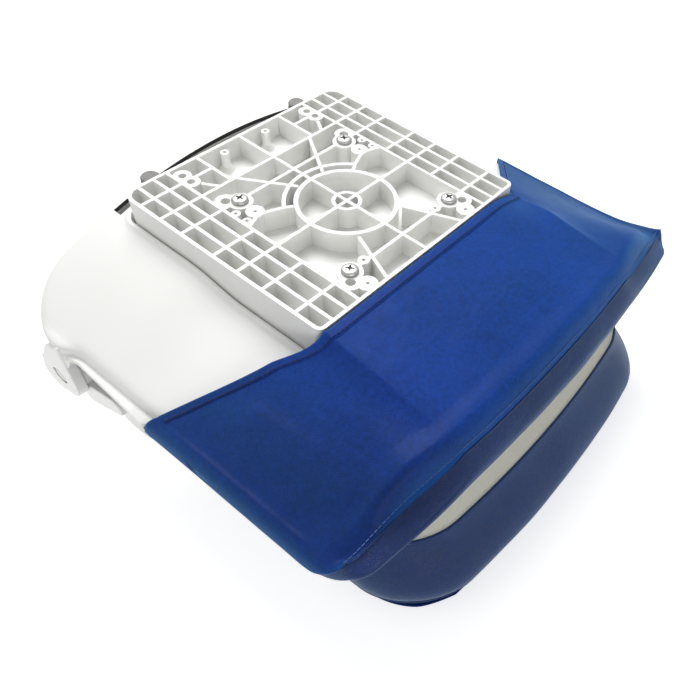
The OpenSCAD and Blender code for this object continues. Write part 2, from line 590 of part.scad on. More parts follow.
feet = [[back_w - 64, 40], [back_w - 64, back_rear - 22]];
back_screws = [[back_w - 34, 79 - back_front], [back_w - 34, 0], [back_w - 34, 85]];
module back_shell() {
    o0 = tray_loop(0);
    i0 = tray_loop(4);
    rings = [
        [for (p = tray_loop(56)) lift(p, tray_z)],
        [for (p = tray_loop(30)) lift(p, tray_z + 0.4)],
        [for (p = tray_loop(14)) lift(p, tray_z + 3)],
        [for (p = tray_loop(4)) lift(p, tray_z + 9)],
        [for (p = o0) lift(p, tray_z + 18)],
        [for (p = o0) lift(p, rim(p))],
        [for (i = [0:len(i0) - 1]) lift(i0[i], rim(o0[i]))],
        [for (p = i0) lift(p, tray_z + 19)],
        [for (p = tray_loop(9)) lift(p, tray_z + 11)],
        [for (p = tray_loop(18)) lift(p, tray_z + 6)],
        [for (p = tray_loop(56)) lift(p, tray_z + 3.6)]];
    color(white) floor_frame() difference() {
        union() {
            skin_solid(rings, tray_z, tray_z + 3.6);
            both() arm();
            both() for (f = feet) translate([f[0], f[1], 0]) cylinder(r = 9, h = tray_z + 3);
            both() for (b = back_screws)
                translate([b[0], b[1], tray_z + 2]) cylinder(r = 6, h = rim_z - tray_z - 2);
            // stops for the seat's rear wall, and ribs inside the hinge end
            both() translate([back_w - 34, back_rear - 12, tray_z + 12]) cube([22, 11.5, 62]);
            for (x = [-120, -60, 0, 60, 120])
                translate([x - 1.5, 112, tray_z + 3]) cube([3, back_rear - 114, 40]);
            translate([-back_w - 12, 112, tray_z + 5]) cube([2 * back_w + 24, 3, rim_z - tray_z - 5]);
        }
        both() for (b = back_screws)
            translate([b[0], b[1], rim_z - 15]) cylinder(r = 1.9, h = 16);
    }
}
module back_board() {
    color(wood_c) floor_frame() difference() {
        translate([0, 0, board_z]) linear_extrude(board_t)
            polygon([for (p = pad(back_w - 2, 3 - back_front, back_pad_rear - 2, 60, 14)) bow_back(p)]);
        both() for (b = back_screws) translate([b[0], b[1], board_z]) {
            translate([0, 0, -1]) cylinder(r = 2.3, h = 8);
            translate([0, 0, board_t - 1.8]) cylinder(r1 = 2.3, r2 = 3.9, h = 1.9);
        }
    }
}
module back_board_screws() {
    color(steel) floor_frame() both() for (b = back_screws)
        translate([b[0], b[1], 0]) {
            translate([0, 0, board_z + board_t - 16]) cylinder(r = 1.85, h = 15.9);
            translate([0, 0, board_z + board_t - 1.7]) cylinder(r1 = 1.85, r2 = 3.6, h = 1.6);
        }
}

// backrest cushion: the band hangs over the tray's sides and front, not over its hinge end
function hang(p) = smooth((p[1] - 30) / 45);
function low_z(p) = mix(14, 51.5, hang(p));
function back_crowned(base, a, h, o) = [for (p = base)
    lift([p[0] * a, mix(-55, p[1], a)], back_seam + 1 + h * (1 - pow(a, 3)) + o)];
module back_boxing() {
    a = cover_loop(8, 13, 62);
    b = cover_loop(12, 18, 64);
    c = cover_loop(8, 7, 62);
    d = cover_loop(0, -6, 60);
    a1 = cover_loop(8, 13, 62, skin_t);
    b1 = cover_loop(12, 18, 64, skin_t);
    c1 = cover_loop(8, 7, 62, skin_t);
    d1 = cover_loop(0, -6, 60, skin_t);
    color(blue) floor_frame() ring_solid([for (i = [0:len(a) - 1])
        let (z0 = low_z(a[i]), zb = mix(z0, back_seam, 0.25), zc = mix(z0, back_seam, 0.6))
        [lift(a[i], z0), lift(a1[i], z0), lift(b1[i], zb), lift(c1[i], zc),
            lift(d1[i], back_seam), lift(d[i], back_seam), lift(c[i], zc), lift(b[i], zb)]], 5);
}
module back_foam() {
    in0 = [for (p = pad(back_w - 0.8, 1.8 - back_front, back_pad_rear - 4.5, 61, 14)) bow_back(p)];
    t1 = [for (p = pad(back_w + 1.6, -back_front - 1.6, back_pad_rear - 3.5, 63.6, 15)) bow_back(p)];
    a = cover_loop(8, 13, 62, skin_t + 0.8);
    b = cover_loop(12, 18, 64, skin_t + 0.8);
    c = cover_loop(8, 7, 62, skin_t + 0.8);
    d = cover_loop(0, -6, 60, skin_t + 0.8);
    n = len(a);
    color(foam_c) floor_frame() skin_solid([
        [for (p = in0) lift(p, board_z + board_t + 0.3)],
        [for (p = t1) lift(p, board_z + board_t + 0.3)],
        [for (i = [0:n - 1]) lift(t1[i], low_z(a[i]) + 0.9)],
        [for (p = a) lift(p, low_z(p) + 0.9)],
        [for (i = [0:n - 1]) lift(b[i], mix(low_z(a[i]), back_seam, 0.26))],
        [for (i = [0:n - 1]) lift(c[i], mix(low_z(a[i]), back_seam, 0.6))],
        [for (p = d) lift(p, back_seam - 0.4)],
        for (k = [0.9, 0.76, 0.56, 0.3]) back_crowned(d, k, back_crown - 2, -0.4)],
        board_z + board_t + 0.3, back_seam + 1 + back_crown - 2.3);
}
module back_panel() {
    c = cover_loop(0, -6, 60, 0.8);
    d = cover_loop(0, -6, 60, 2.4);
    color(cream) floor_frame() skin_solid([
        for (k = [0.3, 0.56, 0.76, 0.9]) back_crowned(d, k, back_crown - skin_t, 0),
        [for (p = d) lift(p, back_seam + 0.3)],
        [for (p = c) lift(p, back_seam + 0.3)],
        [for (p = c) lift(p, back_seam + 1.8)],
        for (k = [0.9, 0.76, 0.56, 0.3]) back_crowned(c, k, back_crown, 0)],
        back_seam + 1 + back_crown - skin_t, back_seam + 1 + back_crown);
}
// pocket over the rear side: it lies on the floor and turns up to the band
function under_z(x, y) = 11.5 * pow(max(clamp((abs(x) - back_w + 20) / 27),
    clamp((18 - back_front - y + 5 * pow(abs(x) / 120, 2)) / 30)), 2);
function back_hem_y(x) = -30 + 14 * pow(abs(x) / 188, 2);
function under_w(v) = back_w + 7 - 44 * pow(clamp((v - 0.7) / 0.3), 2.6);
function under_pt(u, v, dz, dy = 0) = let (x = u * under_w(v), f = 7 * pow(abs(x) / 120, 2) - back_front - 12,
    y = mix(back_hem_y(x), f, v) - dy) [x, y, under_z(x, y) + dz];
under_cols = [-1, -0.97, -0.93, -0.88, -0.7, -0.35, 0, 0.35, 0.7, 0.88, 0.93, 0.97, 1];
module back_pocket() {
    rows = [1, 0.95, 0.9, 0.84, 0.76, 0.66, 0.5, 0.25, 0];
    color(blue) floor_frame() slab(
        [for (v = rows) [for (u = under_cols) under_pt(u, v, skin_t)]],
        [for (v = rows) [for (u = under_cols) under_pt(u, v, 0)]]);
}
module back_hem() {
    color(blue) floor_frame() slab(
        [for (y = [9, 0.5]) [for (u = under_cols) under_pt(u * 0.975, 0, skin_t + 1.8, y)]],
        [for (y = [9, 0.5]) [for (u = under_cols) under_pt(u * 0.975, 0, skin_t + 0.6, y)]]);
}

module bush(s) {
    color(grey) floor_frame() mirror([s < 0 ? 1 : 0, 0, 0]) translate([arm_in, hinge_y, hinge_z])
        rotate([0, 90, 0])
        difference() {
            cylinder(r = bush_r, h = arm_out - arm_in);
            translate([0, 0, -1]) cylinder(r = pin_r + run_gap, h = arm_out - arm_in + 2);
        }
}
module washer(s) {
    color(steel) floor_frame() mirror([s < 0 ? 1 : 0, 0, 0]) translate([arm_out + 0.05, hinge_y, hinge_z])
        rotate([0, 90, 0]) difference() {
            cylinder(r = 13, h = 0.85);
            translate([0, 0, -1]) cylinder(r = pin_r + 0.08, h = 3);
        }
}
module bush_left() { bush(-1); }
module bush_right() { bush(1); }
module washer_left() { washer(-1); }
module washer_right() { washer(1); }

seat_shell();
mount_block();
block_screws();
block_nuts();
seat_board();
seat_board_screws();
seat_foam();
seat_panel();
seat_boxing();
seat_pocket();
seat_hem();
bumpers();
pin_left();
pin_right();
nut_left();
nut_right();
back_shell();
back_board();
back_board_screws();
back_foam();
back_panel();
back_boxing();
back_pocket();
back_hem();
bush_left();
bush_right();
washer_left();
washer_right();
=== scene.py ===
"""Looks of the folding padded seat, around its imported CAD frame. Lengths are written in millimetres."""

import math

import bmesh
import bpy
import numpy as np
from mathutils import Matrix, Vector, kdtree, noise

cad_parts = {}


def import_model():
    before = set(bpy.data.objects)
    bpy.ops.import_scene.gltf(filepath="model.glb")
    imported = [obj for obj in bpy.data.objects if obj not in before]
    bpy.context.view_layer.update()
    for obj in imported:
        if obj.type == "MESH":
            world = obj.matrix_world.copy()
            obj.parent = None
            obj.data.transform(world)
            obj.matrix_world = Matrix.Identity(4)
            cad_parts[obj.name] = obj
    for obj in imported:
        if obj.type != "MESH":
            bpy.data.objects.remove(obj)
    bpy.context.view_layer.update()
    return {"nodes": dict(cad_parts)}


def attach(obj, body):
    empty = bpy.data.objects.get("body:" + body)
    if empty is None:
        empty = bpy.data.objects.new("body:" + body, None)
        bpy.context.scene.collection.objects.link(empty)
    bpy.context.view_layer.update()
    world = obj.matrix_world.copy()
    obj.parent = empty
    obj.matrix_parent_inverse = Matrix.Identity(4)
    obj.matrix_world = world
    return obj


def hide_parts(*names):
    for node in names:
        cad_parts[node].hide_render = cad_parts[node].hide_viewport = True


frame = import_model()

MM = 0.001

# Sizes, as in the part's source
PAN_W = 228
PAN_FRONT = 219
PAN_REAR = 164
PAN_FRONT_R = 44
PAN_REAR_R = 61
ARCH_R = 450
PAN_T = 4
FLANGE_W = 9
PIN_Y = 122
PIN_Z = 124.5
PIN_R = 5
FOLD = math.radians(7.06)
SEAT_CROWN = 22
BACK_CROWN = 20
SKIN = 1.5
BACK_SEAM = 79
HUB_Z = 230
SHIFT_Y = 36.099
CREST_REAR = -5.5
CREST_FRONT = -17.5
EDGE_Z = -67.5
FLANGE_Z = -76
DECK_Z = -80
LEDGE_Z = -40
WALL_Z = -98
WALL_RIM_Z = -90
BOARD_T = 5
EAR_IN = 228
EAR_OUT = 237.5
ARM_IN = 216
ARM_OUT = 227
BUSH_R = 8
HEM_FRONT = 95
CUSH_W = 238
CUSH_FRONT = 236
CUSH_REAR = 113
CUSH_R = 26
SEAT_MID_Z = -93
FRONT_BOW = 19
BOW_W = 237
SEAM_W = 239
FOLD_X = 124
SLOT_W = 80
SLOT_FRONT = 146
SLOT_BACK = 155.5
SIDE_SLOT_IN = 98
SIDE_SLOT_OUT = 128
BACK_W = 184
BACK_FRONT = 229
BACK_REAR = 172
BACK_COVER_REAR = 111
TRAY_Z = 4
RIM_Z = 45.9
BOARD_Z = 46
BUMPER_X = 88
BUMPER_Y = 153.5
BUMPER_Z = -14
ARCH_DROP = ARCH_R - math.sqrt(ARCH_R ** 2 - PAN_W ** 2)

# Sizes of the drawn covers only
HEM_TURN = 112       # where the hem leaves its straight front run
HEM_NEAR = 13        # how far short of the middle line the hem ends, near side
HEM_FAR = 3          # the same on the far side
ROLL_V = 0.862       # share of the pocket's run where its front starts to roll down
CORNER_IN = 0.042    # share by which the near front corner draws in
FRONT_DROP = 15      # how far the front rolls down to its seam
NEAR_DROP = 8        # half of this is added by the near corner
TUCK = 7             # how far the front draws back to its seam
FAR_DIP = 10         # depth of the dip by the block's far front corner
COVER_BLEND = 11.0   # reach of the blend between the cover and the pan under it

# Points on an outline: along a side, along an end, round a corner
SIDE_STEPS, END_STEPS, CORNER_STEPS = 70, 56, 16


def clamp(t):
    return np.clip(t, 0.0, 1.0)


def mix(a, b, t):
    return a + (b - a) * t


def smooth(t):
    c = clamp(t)
    return c * c * (3 - 2 * c)


def outline(w, yf, yb, rf, rb):
    """Rounded outline as an (n, 2) array, run like the source's, only finer."""
    pts = []

    def line(a, b, count):
        pts.extend((mix(a[0], b[0], j / count), mix(a[1], b[1], j / count)) for j in range(count))

    def turn(cx, cy, r, start):
        for j in range(CORNER_STEPS):
            a = math.radians(start + 90 * j / CORNER_STEPS)
            pts.append((cx + r * math.cos(a), cy + r * math.sin(a)))

    line((rf - w, yf), (w - rf, yf), END_STEPS)
    turn(w - rf, yf + rf, rf, -90)
    line((w, yf + rf), (w, yb - rb), SIDE_STEPS)
    turn(w - rb, yb - rb, rb, 0)
    line((w - rb, yb), (rb - w, yb), END_STEPS)
    turn(rb - w, yb - rb, rb, 90)
    line((-w, yb - rb), (-w, yf + rf), SIDE_STEPS)
    turn(rf - w, yf + rf, rf, 180)
    return np.array(pts, float)


def arch(x):
    a = np.minimum(np.abs(x), PAN_W)
    return (ARCH_R - np.sqrt(ARCH_R ** 2 - a * a)) / ARCH_DROP


def crest(y):
    return mix(CREST_REAR, CREST_FRONT, smooth((55 - y) / 60))


def nose(y):
    return clamp((-y - 162) / 57) ** 2


def pan_top(x, y):
    return mix(crest(y), EDGE_Z, 1 - (1 - arch(x)) * (1 - nose(y)))


def bow(p):
    q = p.copy()
    q[:, 1] += FRONT_BOW * (np.abs(p[:, 0]) / BOW_W) ** 2.2 * smooth((-150 - p[:, 1]) / 60)
    return q


def flare(p):
    q = p.copy()
    q[:, 0] *= 1 + 0.035 * smooth((p[:, 1] - 78) / 24) * clamp(np.abs(p[:, 0]) / 190) ** 6
    return q


def waist(p):
    q = p.copy()
    q[:, 0] *= (1 - 0.021 * smooth((p[:, 1] + 12) / 14)) * (1 - 0.112 * smooth((p[:, 1] - 28) / 45))
    return q


def pan_loop(o):
    return bow(flare(outline(PAN_W - o, o - PAN_FRONT, PAN_REAR - o, PAN_FRONT_R - o, PAN_REAR_R - o)))


def window_loop(o):
    return outline(127 + o, -94 - o, 141 + o, 3.5 + max(o, -3), 12 + o)


def cush_loop(o):
    return bow(waist(outline(CUSH_W - o, o - CUSH_FRONT, CUSH_REAR - o, CUSH_R - o, 20 - o)))


def hem_y(x):
    t = clamp((np.abs(x) - HEM_TURN) / (SEAM_W - HEM_TURN))
    return -HEM_FRONT + (HEM_FRONT - np.where(x < 0, HEM_NEAR, HEM_FAR)) * t * smooth(t / 0.35)


def seam_y(x):
    return -CUSH_FRONT + 20 * (np.abs(x) / BOW_W) ** 2.2


def fall(x):
    return clamp((np.abs(x) - FOLD_X) / (SEAM_W - FOLD_X))


def pocket_at(x, v, g):
    curl = np.where(x > 0, 0.5, 0.8)
    sides = mix(-78.5, -53, clamp((v - curl) / (1 - curl)) ** 2)
    return mix(mix(0, -21, v), sides, g)


def pocket_raw(x, v):
    """The cover falls at once by the hem and the front seam, and lies ever flatter between them."""
    g = fall(x) ** 0.75
    roll = 1 - clamp((v - ROLL_V) / (1 - ROLL_V)) ** 2
    k = clamp(v / ROLL_V) ** 1.2 * roll ** 0.6
    dip = FAR_DIP * np.exp(-((x - 130) / 26) ** 2) * (1 - smooth(v / 0.35))
    return pocket_at(x, v, np.minimum(g, mix(g, smooth(fall(x) ** 1.6), k))) - dip


def soft_max(a, b, k):
    h = clamp(0.5 + 0.5 * (a - b) / k)
    return mix(b, a, h) + k * h * (1 - h)


def pocket_z(x, y, v):
    dome = pan_top(x, y) + SKIN + 1.0
    raw = pocket_raw(x, v)
    keep = clamp((232 - np.abs(x)) / 4) * clamp((y + 226) / 6)
    return mix(raw, soft_max(raw, dome, COVER_BLEND), keep)


def pocket_v(x, y):
    return clamp((hem_y(x) - y) / (hem_y(x) - seam_y(x)))


def seam_z(y):
    front = mix(-66, -84, smooth((y + 236) / 58))
    mid = mix(-84, -95, (y + 178) / 178)
    return np.where(y < -178, front, np.where(y < 0, mid, -95 - 0.09 * y))


def flare_back(p):
    q = p.copy()
    q[:, 0] *= 1 + 0.11 * smooth((p[:, 1] - 96) / 18)
    return q


def bow_back(p):
    q = p.copy()
    q[:, 1] += 7 * (np.abs(p[:, 0]) / 120) ** 2 * smooth((-120 - p[:, 1]) / 80)
    return q


def tray_loop(o):
    return bow_back(flare_back(outline(BACK_W - o, o - BACK_FRONT, BACK_REAR - o, 62 - o, 30 - min(o, 26))))


def cover_loop(w, yf, rf):
    return bow_back(outline(w, -yf, BACK_COVER_REAR, rf, 18))


def under_z(x, y):
    a = clamp((np.abs(x) - 164) / 27)
    b = clamp((-y - 211 + 5 * (np.abs(x) / 120) ** 2) / 30)
    return 11.5 * np.maximum(a, b) ** 2


def back_hem_y(x):
    return -30 + 14 * (np.abs(x) / 188) ** 2


# From local millimetres to the frame
COS, SIN = math.cos(FOLD), math.sin(FOLD)


def seat_frame(p):
    p = np.asarray(p, float)
    return np.stack([p[..., 0], p[..., 1] * COS - p[..., 2] * SIN + SHIFT_Y,
                     p[..., 1] * SIN + p[..., 2] * COS + HUB_Z], -1) * MM


def floor_frame(p):
    p = np.asarray(p, float)
    return np.stack([p[..., 0], p[..., 1] + SHIFT_Y, p[..., 2]], -1) * MM


def lift(xy, z):
    return np.column_stack([xy, np.broadcast_to(z, len(xy))])


# Mesh helpers
def linked(name, data):
    ob = bpy.data.objects.new(name, data)
    bpy.context.scene.collection.objects.link(ob)
    return ob


def from_bmesh(name, bm):
    me = bpy.data.meshes.new(name)
    bm.to_mesh(me)
    bm.free()
    return linked(name, me)


def shade_smooth(ob):
    ob.data.polygons.foreach_set("use_smooth", [True] * len(ob.data.polygons))


def make(name, points, faces, shade=True):
    me = bpy.data.meshes.new(name)
    me.from_pydata([tuple(p) for p in points], [], faces)
    me.validate()
    ob = linked(name, me)
    if shade:
        shade_smooth(ob)
    me.update()
    return ob


def outward(ob):
    bm = bmesh.new()
    bm.from_mesh(ob.data)
    bmesh.ops.recalc_face_normals(bm, faces=bm.faces)
    bm.to_mesh(ob.data)
    bm.free()
    return ob


def sharpen(ob, angle):
    """Flat-looking steps keep their edge where faces meet at more than the angle."""
    bm = bmesh.new()
    bm.from_mesh(ob.data)
    for e in bm.edges:
        if len(e.link_faces) == 2:
            e.smooth = e.calc_face_angle(0) < math.radians(angle)
    bm.to_mesh(ob.data)
    bm.free()
    return ob


def apply_modifiers(ob):
    deps = bpy.context.evaluated_depsgraph_get()
    me = bpy.data.meshes.new_from_object(ob.evaluated_get(deps))
    ob.modifiers.clear()
    old = ob.data
    ob.data = me
    bpy.data.meshes.remove(old)
    return ob


def ring_faces(rows, n, close_rows):
    """Quads between rings of n points; rows counts the rings."""
    faces = []
    for r in range(rows if close_rows else rows - 1):
        r2 = (r + 1) % rows
        for i in range(n):
            i2 = (i + 1) % n
            faces.append((r * n + i, r * n + i2, r2 * n + i2, r2 * n + i))
    return faces


def ring_mesh(name, rings, place, closed=False, caps=False):
    n = len(rings[0])
    pts = place(np.concatenate(rings))
    faces = ring_faces(len(rings), n, closed)
    if caps:
        faces.append(tuple(range(n - 1, -1, -1)))
        faces.append(tuple(range((len(rings) - 1) * n, len(rings) * n)))
    return outward(make(name, pts, faces))


def grid_mesh(name, top, bottom, place):
    """A closed sheet between two grids of points."""
    r, c = top.shape[:2]
    pts = place(np.concatenate([top.reshape(-1, 3), bottom.reshape(-1, 3)]))
    n = r * c
    faces = []
    for i in range(r - 1):
        for j in range(c - 1):
            a, b, d, e = i * c + j, i * c + j + 1, (i + 1) * c + j, (i + 1) * c + j + 1
            faces += [(a, b, e, d), (n + a, n + d, n + e, n + b)]
    for i in range(r - 1):
        for j in (0, c - 1):
            a, d = i * c + j, (i + 1) * c + j
            faces.append((a, d, n + d, n + a))
    for j in range(c - 1):
        for i in (0, r - 1):
            a, b = i * c + j, i * c + j + 1
            faces.append((a, b, n + b, n + a))
    return outward(make(name, pts, faces))


def prism(bm, poly, x0, x1, place):
    """Polygon of (y, z) points extruded along X."""
    a = [bm.verts.new(place([(x0, y, z)])[0]) for y, z in poly]
    b = [bm.verts.new(place([(x1, y, z)])[0]) for y, z in poly]
    n = len(poly)
    bm.faces.new(a[::-1])
    bm.faces.new(b)
    for i in range(n):
        j = (i + 1) % n
        bm.faces.new((a[i], a[j], b[j], b[i]))


def circle(cy, cz, r, n=64):
    turns = [2 * math.pi * i / n for i in range(n)]
    return [(cy + r * math.cos(a), cz + r * math.sin(a)) for a in turns]


def fused(name, polys, x0, x1, place):
    """Overlapping prisms fused into one body with softly rounded edges."""
    bm = bmesh.new()
    for poly in polys:
        prism(bm, poly, x0, x1, place)
    bmesh.ops.recalc_face_normals(bm, faces=bm.faces)
    ob = from_bmesh(name, bm)
    remesh = ob.modifiers.new("fuse", "REMESH")
    remesh.mode = "VOXEL"
    remesh.voxel_size = 0.8 * MM
    remesh.use_smooth_shade = True
    relax = ob.modifiers.new("round", "SMOOTH")
    relax.factor = 0.5
    relax.iterations = 4
    return apply_modifiers(ob)


def cut(ob, cutters):
    for c in cutters:
        m = ob.modifiers.new("cut", "BOOLEAN")
        m.operation = "DIFFERENCE"
        m.solver = "EXACT"
        m.object = c
        apply_modifiers(ob)
        bpy.data.objects.remove(c)
    return ob


def box_mesh(lo, hi, place):
    pts = [(x, y, z) for x in (lo[0], hi[0]) for y in (lo[1], hi[1]) for z in (lo[2], hi[2])]
    f = [(0, 1, 3, 2), (4, 6, 7, 5), (0, 4, 5, 1), (2, 3, 7, 6), (0, 2, 6, 4), (1, 5, 7, 3)]
    return outward(make("cutter", place(pts), f, False))


def rod_mesh(a, b, r, place):
    """Cylinder between two local points."""
    a, b = Vector(place([a])[0]), Vector(place([b])[0])
    bm = bmesh.new()
    rot = (b - a).to_track_quat("Z", "Y").to_matrix().to_4x4()
    bmesh.ops.create_cone(bm, cap_ends=True, segments=48, radius1=r * MM, radius2=r * MM,
                          depth=(b - a).length, matrix=Matrix.Translation((a + b) / 2) @ rot)
    return from_bmesh("cutter", bm)


def joined(name, obs):
    """Several objects become one mesh object."""
    bm = bmesh.new()
    for o in obs:
        bm.from_mesh(o.data)
        bpy.data.objects.remove(o)
    return from_bmesh(name, bm)


def tube_mesh(name, path, r, place, closed=False, sides=8, squash=1.0, taper=True):
    """A bead along a path of local points."""
    p = place(path)
    n = len(p)
    t = np.roll(p, -1, 0) - np.roll(p, 1, 0)
    if not closed:
        t[0], t[-1] = p[1] - p[0], p[-1] - p[-2]
    t /= np.linalg.norm(t, axis=1)[:, None]
    up = np.array([0.0, 0.0, 1.0])
    side = np.cross(t, up)
    side /= np.maximum(np.linalg.norm(side, axis=1), 1e-9)[:, None]
    nor = np.cross(side, t)
    pts, faces = [], []
    for i in range(n):
        k = r * MM
        if taper and not closed:
            k *= min(1.0, 0.35 + 0.65 * min(i, n - 1 - i) / 3)
        for s in range(sides):
            a = 2 * math.pi * s / sides
            pts.append(p[i] + side[i] * k * math.cos(a) + nor[i] * k * squash * math.sin(a))
    for i in range(n if closed else n - 1):
        i2 = (i + 1) % n
        for s in range(sides):
            s2 = (s + 1) % sides
            faces.append((i * sides + s, i * sides + s2, i2 * sides + s2, i2 * sides + s))
    if not closed:
        faces.append(tuple(range(sides - 1, -1, -1)))
        faces.append(tuple(range((n - 1) * sides, n * sides)))
    return outward(make(name, pts, faces))


def resample(path, step, closed=False):
    """Points along a path at an even step, in millimetres."""
    q = np.asarray(path, float)
    if closed:
        q = np.vstack([q, q[:1]])
    d = np.concatenate([[0], np.cumsum(np.linalg.norm(np.diff(q, axis=0), axis=1))])
    n = max(2, int(d[-1] / step))
    s = np.linspace(0, d[-1], n + (0 if closed else 1), endpoint=not closed)
    return np.column_stack([np.interp(s, d, q[:, k]) for k in range(3)])


def stitches(name, path, place, r):
    """Thread showing as short rounded dashes along a path."""
    grain, length, gap, raised, arched = 0.5, 3.0, 1.2, 0.15, 0.12
    fine = resample(path, grain)
    step = int((length + gap) / grain)
    run = int(length / grain)
    up = np.array((0, 0, 1), float)
    bm = bmesh.new()
    for i in range(0, len(fine) - run - 1, step):
        seg = fine[i:i + run + 1:2] + up * raised
        sag = np.sin(np.linspace(0, math.pi, len(seg))) * arched
        seg = seg + np.outer(sag, up)
        dash = tube_mesh("dash", seg, r, place, sides=5, squash=0.75, taper=False)
        me = dash.data
        bm.from_mesh(me)
        bpy.data.objects.remove(dash)
        bpy.data.meshes.remove(me)
    ob = from_bmesh(name, bm)
    shade_smooth(ob)
    return ob


def wrinkle(ob, amount, scale, seed):
    """Small soft folds, along each point's normal; the noise is fixed by the seed."""
    me = ob.data
    me.update()
    n = len(me.vertices)
    nor = np.zeros(n * 3, np.float32)
    me.vertices.foreach_get("normal", nor)
    co = np.zeros(n * 3, np.float32)
    me.vertices.foreach_get("co", co)
    nor, co = nor.reshape(-1, 3), co.reshape(-1, 3)
    off = np.array([seed * 3.1, seed * 1.7, seed * 0.9])
    val = np.array([noise.noise(Vector((c / scale + off).tolist())) for c in co])
    co += nor * (val * amount * MM)[:, None]
    me.vertices.foreach_set("co", co.ravel())
    me.update()
    return ob


# Materials
def material(name):
    m = bpy.data.materials.new(name)
    m.use_nodes = True
    nt = m.node_tree
    b = nt.nodes["Principled BSDF"]
    return m, nt, b


def node(nt, kind, **kw):
    n = nt.nodes.new(kind)
    for k, v in kw.items():
        if k in n.inputs:
            n.inputs[k].default_value = v
        else:
            setattr(n, k, v)
    return n


def coords(nt, scale=(1, 1, 1)):
    t = node(nt, "ShaderNodeTexCoord")
    m = node(nt, "ShaderNodeMapping")
    m.inputs["Scale"].default_value = scale
    nt.links.new(t.outputs["Object"], m.inputs["Vector"])
    return m.outputs["Vector"]


def noise_tex(nt, vec, scale, detail=3, rough=0.5):
    n = node(nt, "ShaderNodeTexNoise")
    n.inputs["Scale"].default_value = scale
    n.inputs["Detail"].default_value = detail
    n.inputs["Roughness"].default_value = rough
    nt.links.new(vec, n.inputs["Vector"])
    return n.outputs["Fac"]


def ramp(nt, fac, stops):
    r = node(nt, "ShaderNodeValToRGB")
    e = r.color_ramp.elements
    while len(e) < len(stops):
        e.new(0.5)
    for el, (pos, col) in zip(e, stops):
        el.position = pos
        el.color = (*col, 1)
    nt.links.new(fac, r.inputs["Fac"])
    return r.outputs["Color"]


def math_node(nt, op, a, b):
    n = node(nt, "ShaderNodeMath", operation=op)
    for i, v in enumerate((a, b)):
        if isinstance(v, (int, float)):
            n.inputs[i].default_value = v
        else:
            nt.links.new(v, n.inputs[i])
    return n.outputs[0]


def bump(nt, height, distance, strength=1.0, under=None):
    b = node(nt, "ShaderNodeBump")
    b.inputs["Distance"].default_value = distance
    b.inputs["Strength"].default_value = strength
    nt.links.new(height, b.inputs["Height"])
    if under is not None:
        nt.links.new(under, b.inputs["Normal"])
    return b.outputs["Normal"]


def painted_side_shade(nt, colour, tint):
    """Painted shade: towards both sides in x the colour is multiplied by the tint, so the vinyl darkens
    away from the middle.
    """
    t = node(nt, "ShaderNodeTexCoord")
    xyz = node(nt, "ShaderNodeSeparateXYZ")
    nt.links.new(t.outputs["Object"], xyz.inputs[0])
    away = math_node(nt, "ABSOLUTE", xyz.outputs["X"], 0.0)
    spread = node(nt, "ShaderNodeMapRange", interpolation_type="SMOOTHSTEP")
    spread.inputs["From Min"].default_value = 0.10
    spread.inputs["From Max"].default_value = 0.215
    nt.links.new(away, spread.inputs["Value"])
    mixer = node(nt, "ShaderNodeMixRGB", blend_type="MULTIPLY")
    mixer.inputs[2].default_value = (*tint, 1)
    nt.links.new(spread.outputs["Result"], mixer.inputs[0])
    nt.links.new(colour, mixer.inputs[1])
    return mixer.outputs[0]


def pores(nt, v):
    """The vinyl's embossed cells, slightly warped."""
    warp = node(nt, "ShaderNodeMixRGB", blend_type="ADD")
    warp.inputs[0].default_value = 0.0012
    nt.links.new(v, warp.inputs[1])
    shift = node(nt, "ShaderNodeTexNoise")
    shift.inputs["Scale"].default_value = 420
    nt.links.new(v, shift.inputs["Vector"])
    nt.links.new(shift.outputs["Color"], warp.inputs[2])
    cell = node(nt, "ShaderNodeTexVoronoi", feature="DISTANCE_TO_EDGE")
    cell.inputs["Scale"].default_value = 780
    nt.links.new(warp.outputs[0], cell.inputs["Vector"])
    return ramp(nt, cell.outputs["Distance"], [(0.0, (0, 0, 0)), (0.22, (1, 1, 1))])


def vinyl(name, light, dark, rough=(0.36, 0.5), grain=1.0, gloss=0.3, sheen=(0.05, 0.5, (1, 1, 1)),
          side=None, coat=0.0):
    """Grained, coated upholstery vinyl."""
    m, nt, b = material(name)
    v = coords(nt)
    patch = noise_tex(nt, v, 14, 4, 0.6)
    mottle = noise_tex(nt, v, 260, 3, 0.6)
    fine = math_node(nt, "MULTIPLY", mottle, 0.55)
    tone = math_node(nt, "ADD", math_node(nt, "MULTIPLY", patch, 0.45), fine)
    col = ramp(nt, tone, [(0.36, dark), (0.64, light)])
    # side multiplies the colour darker towards both sides in x: painted shade
    if side:
        col = painted_side_shade(nt, col, side)
    nt.links.new(col, b.inputs["Base Color"])
    r = ramp(nt, mottle, [(0.3, (rough[0],) * 3), (0.75, (rough[1],) * 3)])
    nt.links.new(r, b.inputs["Roughness"])
    creased = bump(nt, noise_tex(nt, v, 75, 5, 0.62), 0.0006, 0.35)
    nt.links.new(bump(nt, pores(nt, v), 0.00022, 0.8 * grain, creased), b.inputs["Normal"])
    b.inputs["Specular IOR Level"].default_value = gloss
    b.inputs["Sheen Weight"].default_value = sheen[0]
    b.inputs["Sheen Roughness"].default_value = sheen[1]
    b.inputs["Sheen Tint"].default_value = (*sheen[2], 1)
    b.inputs["Coat Weight"].default_value = coat
    b.inputs["Coat Roughness"].default_value = 0.3
    return m


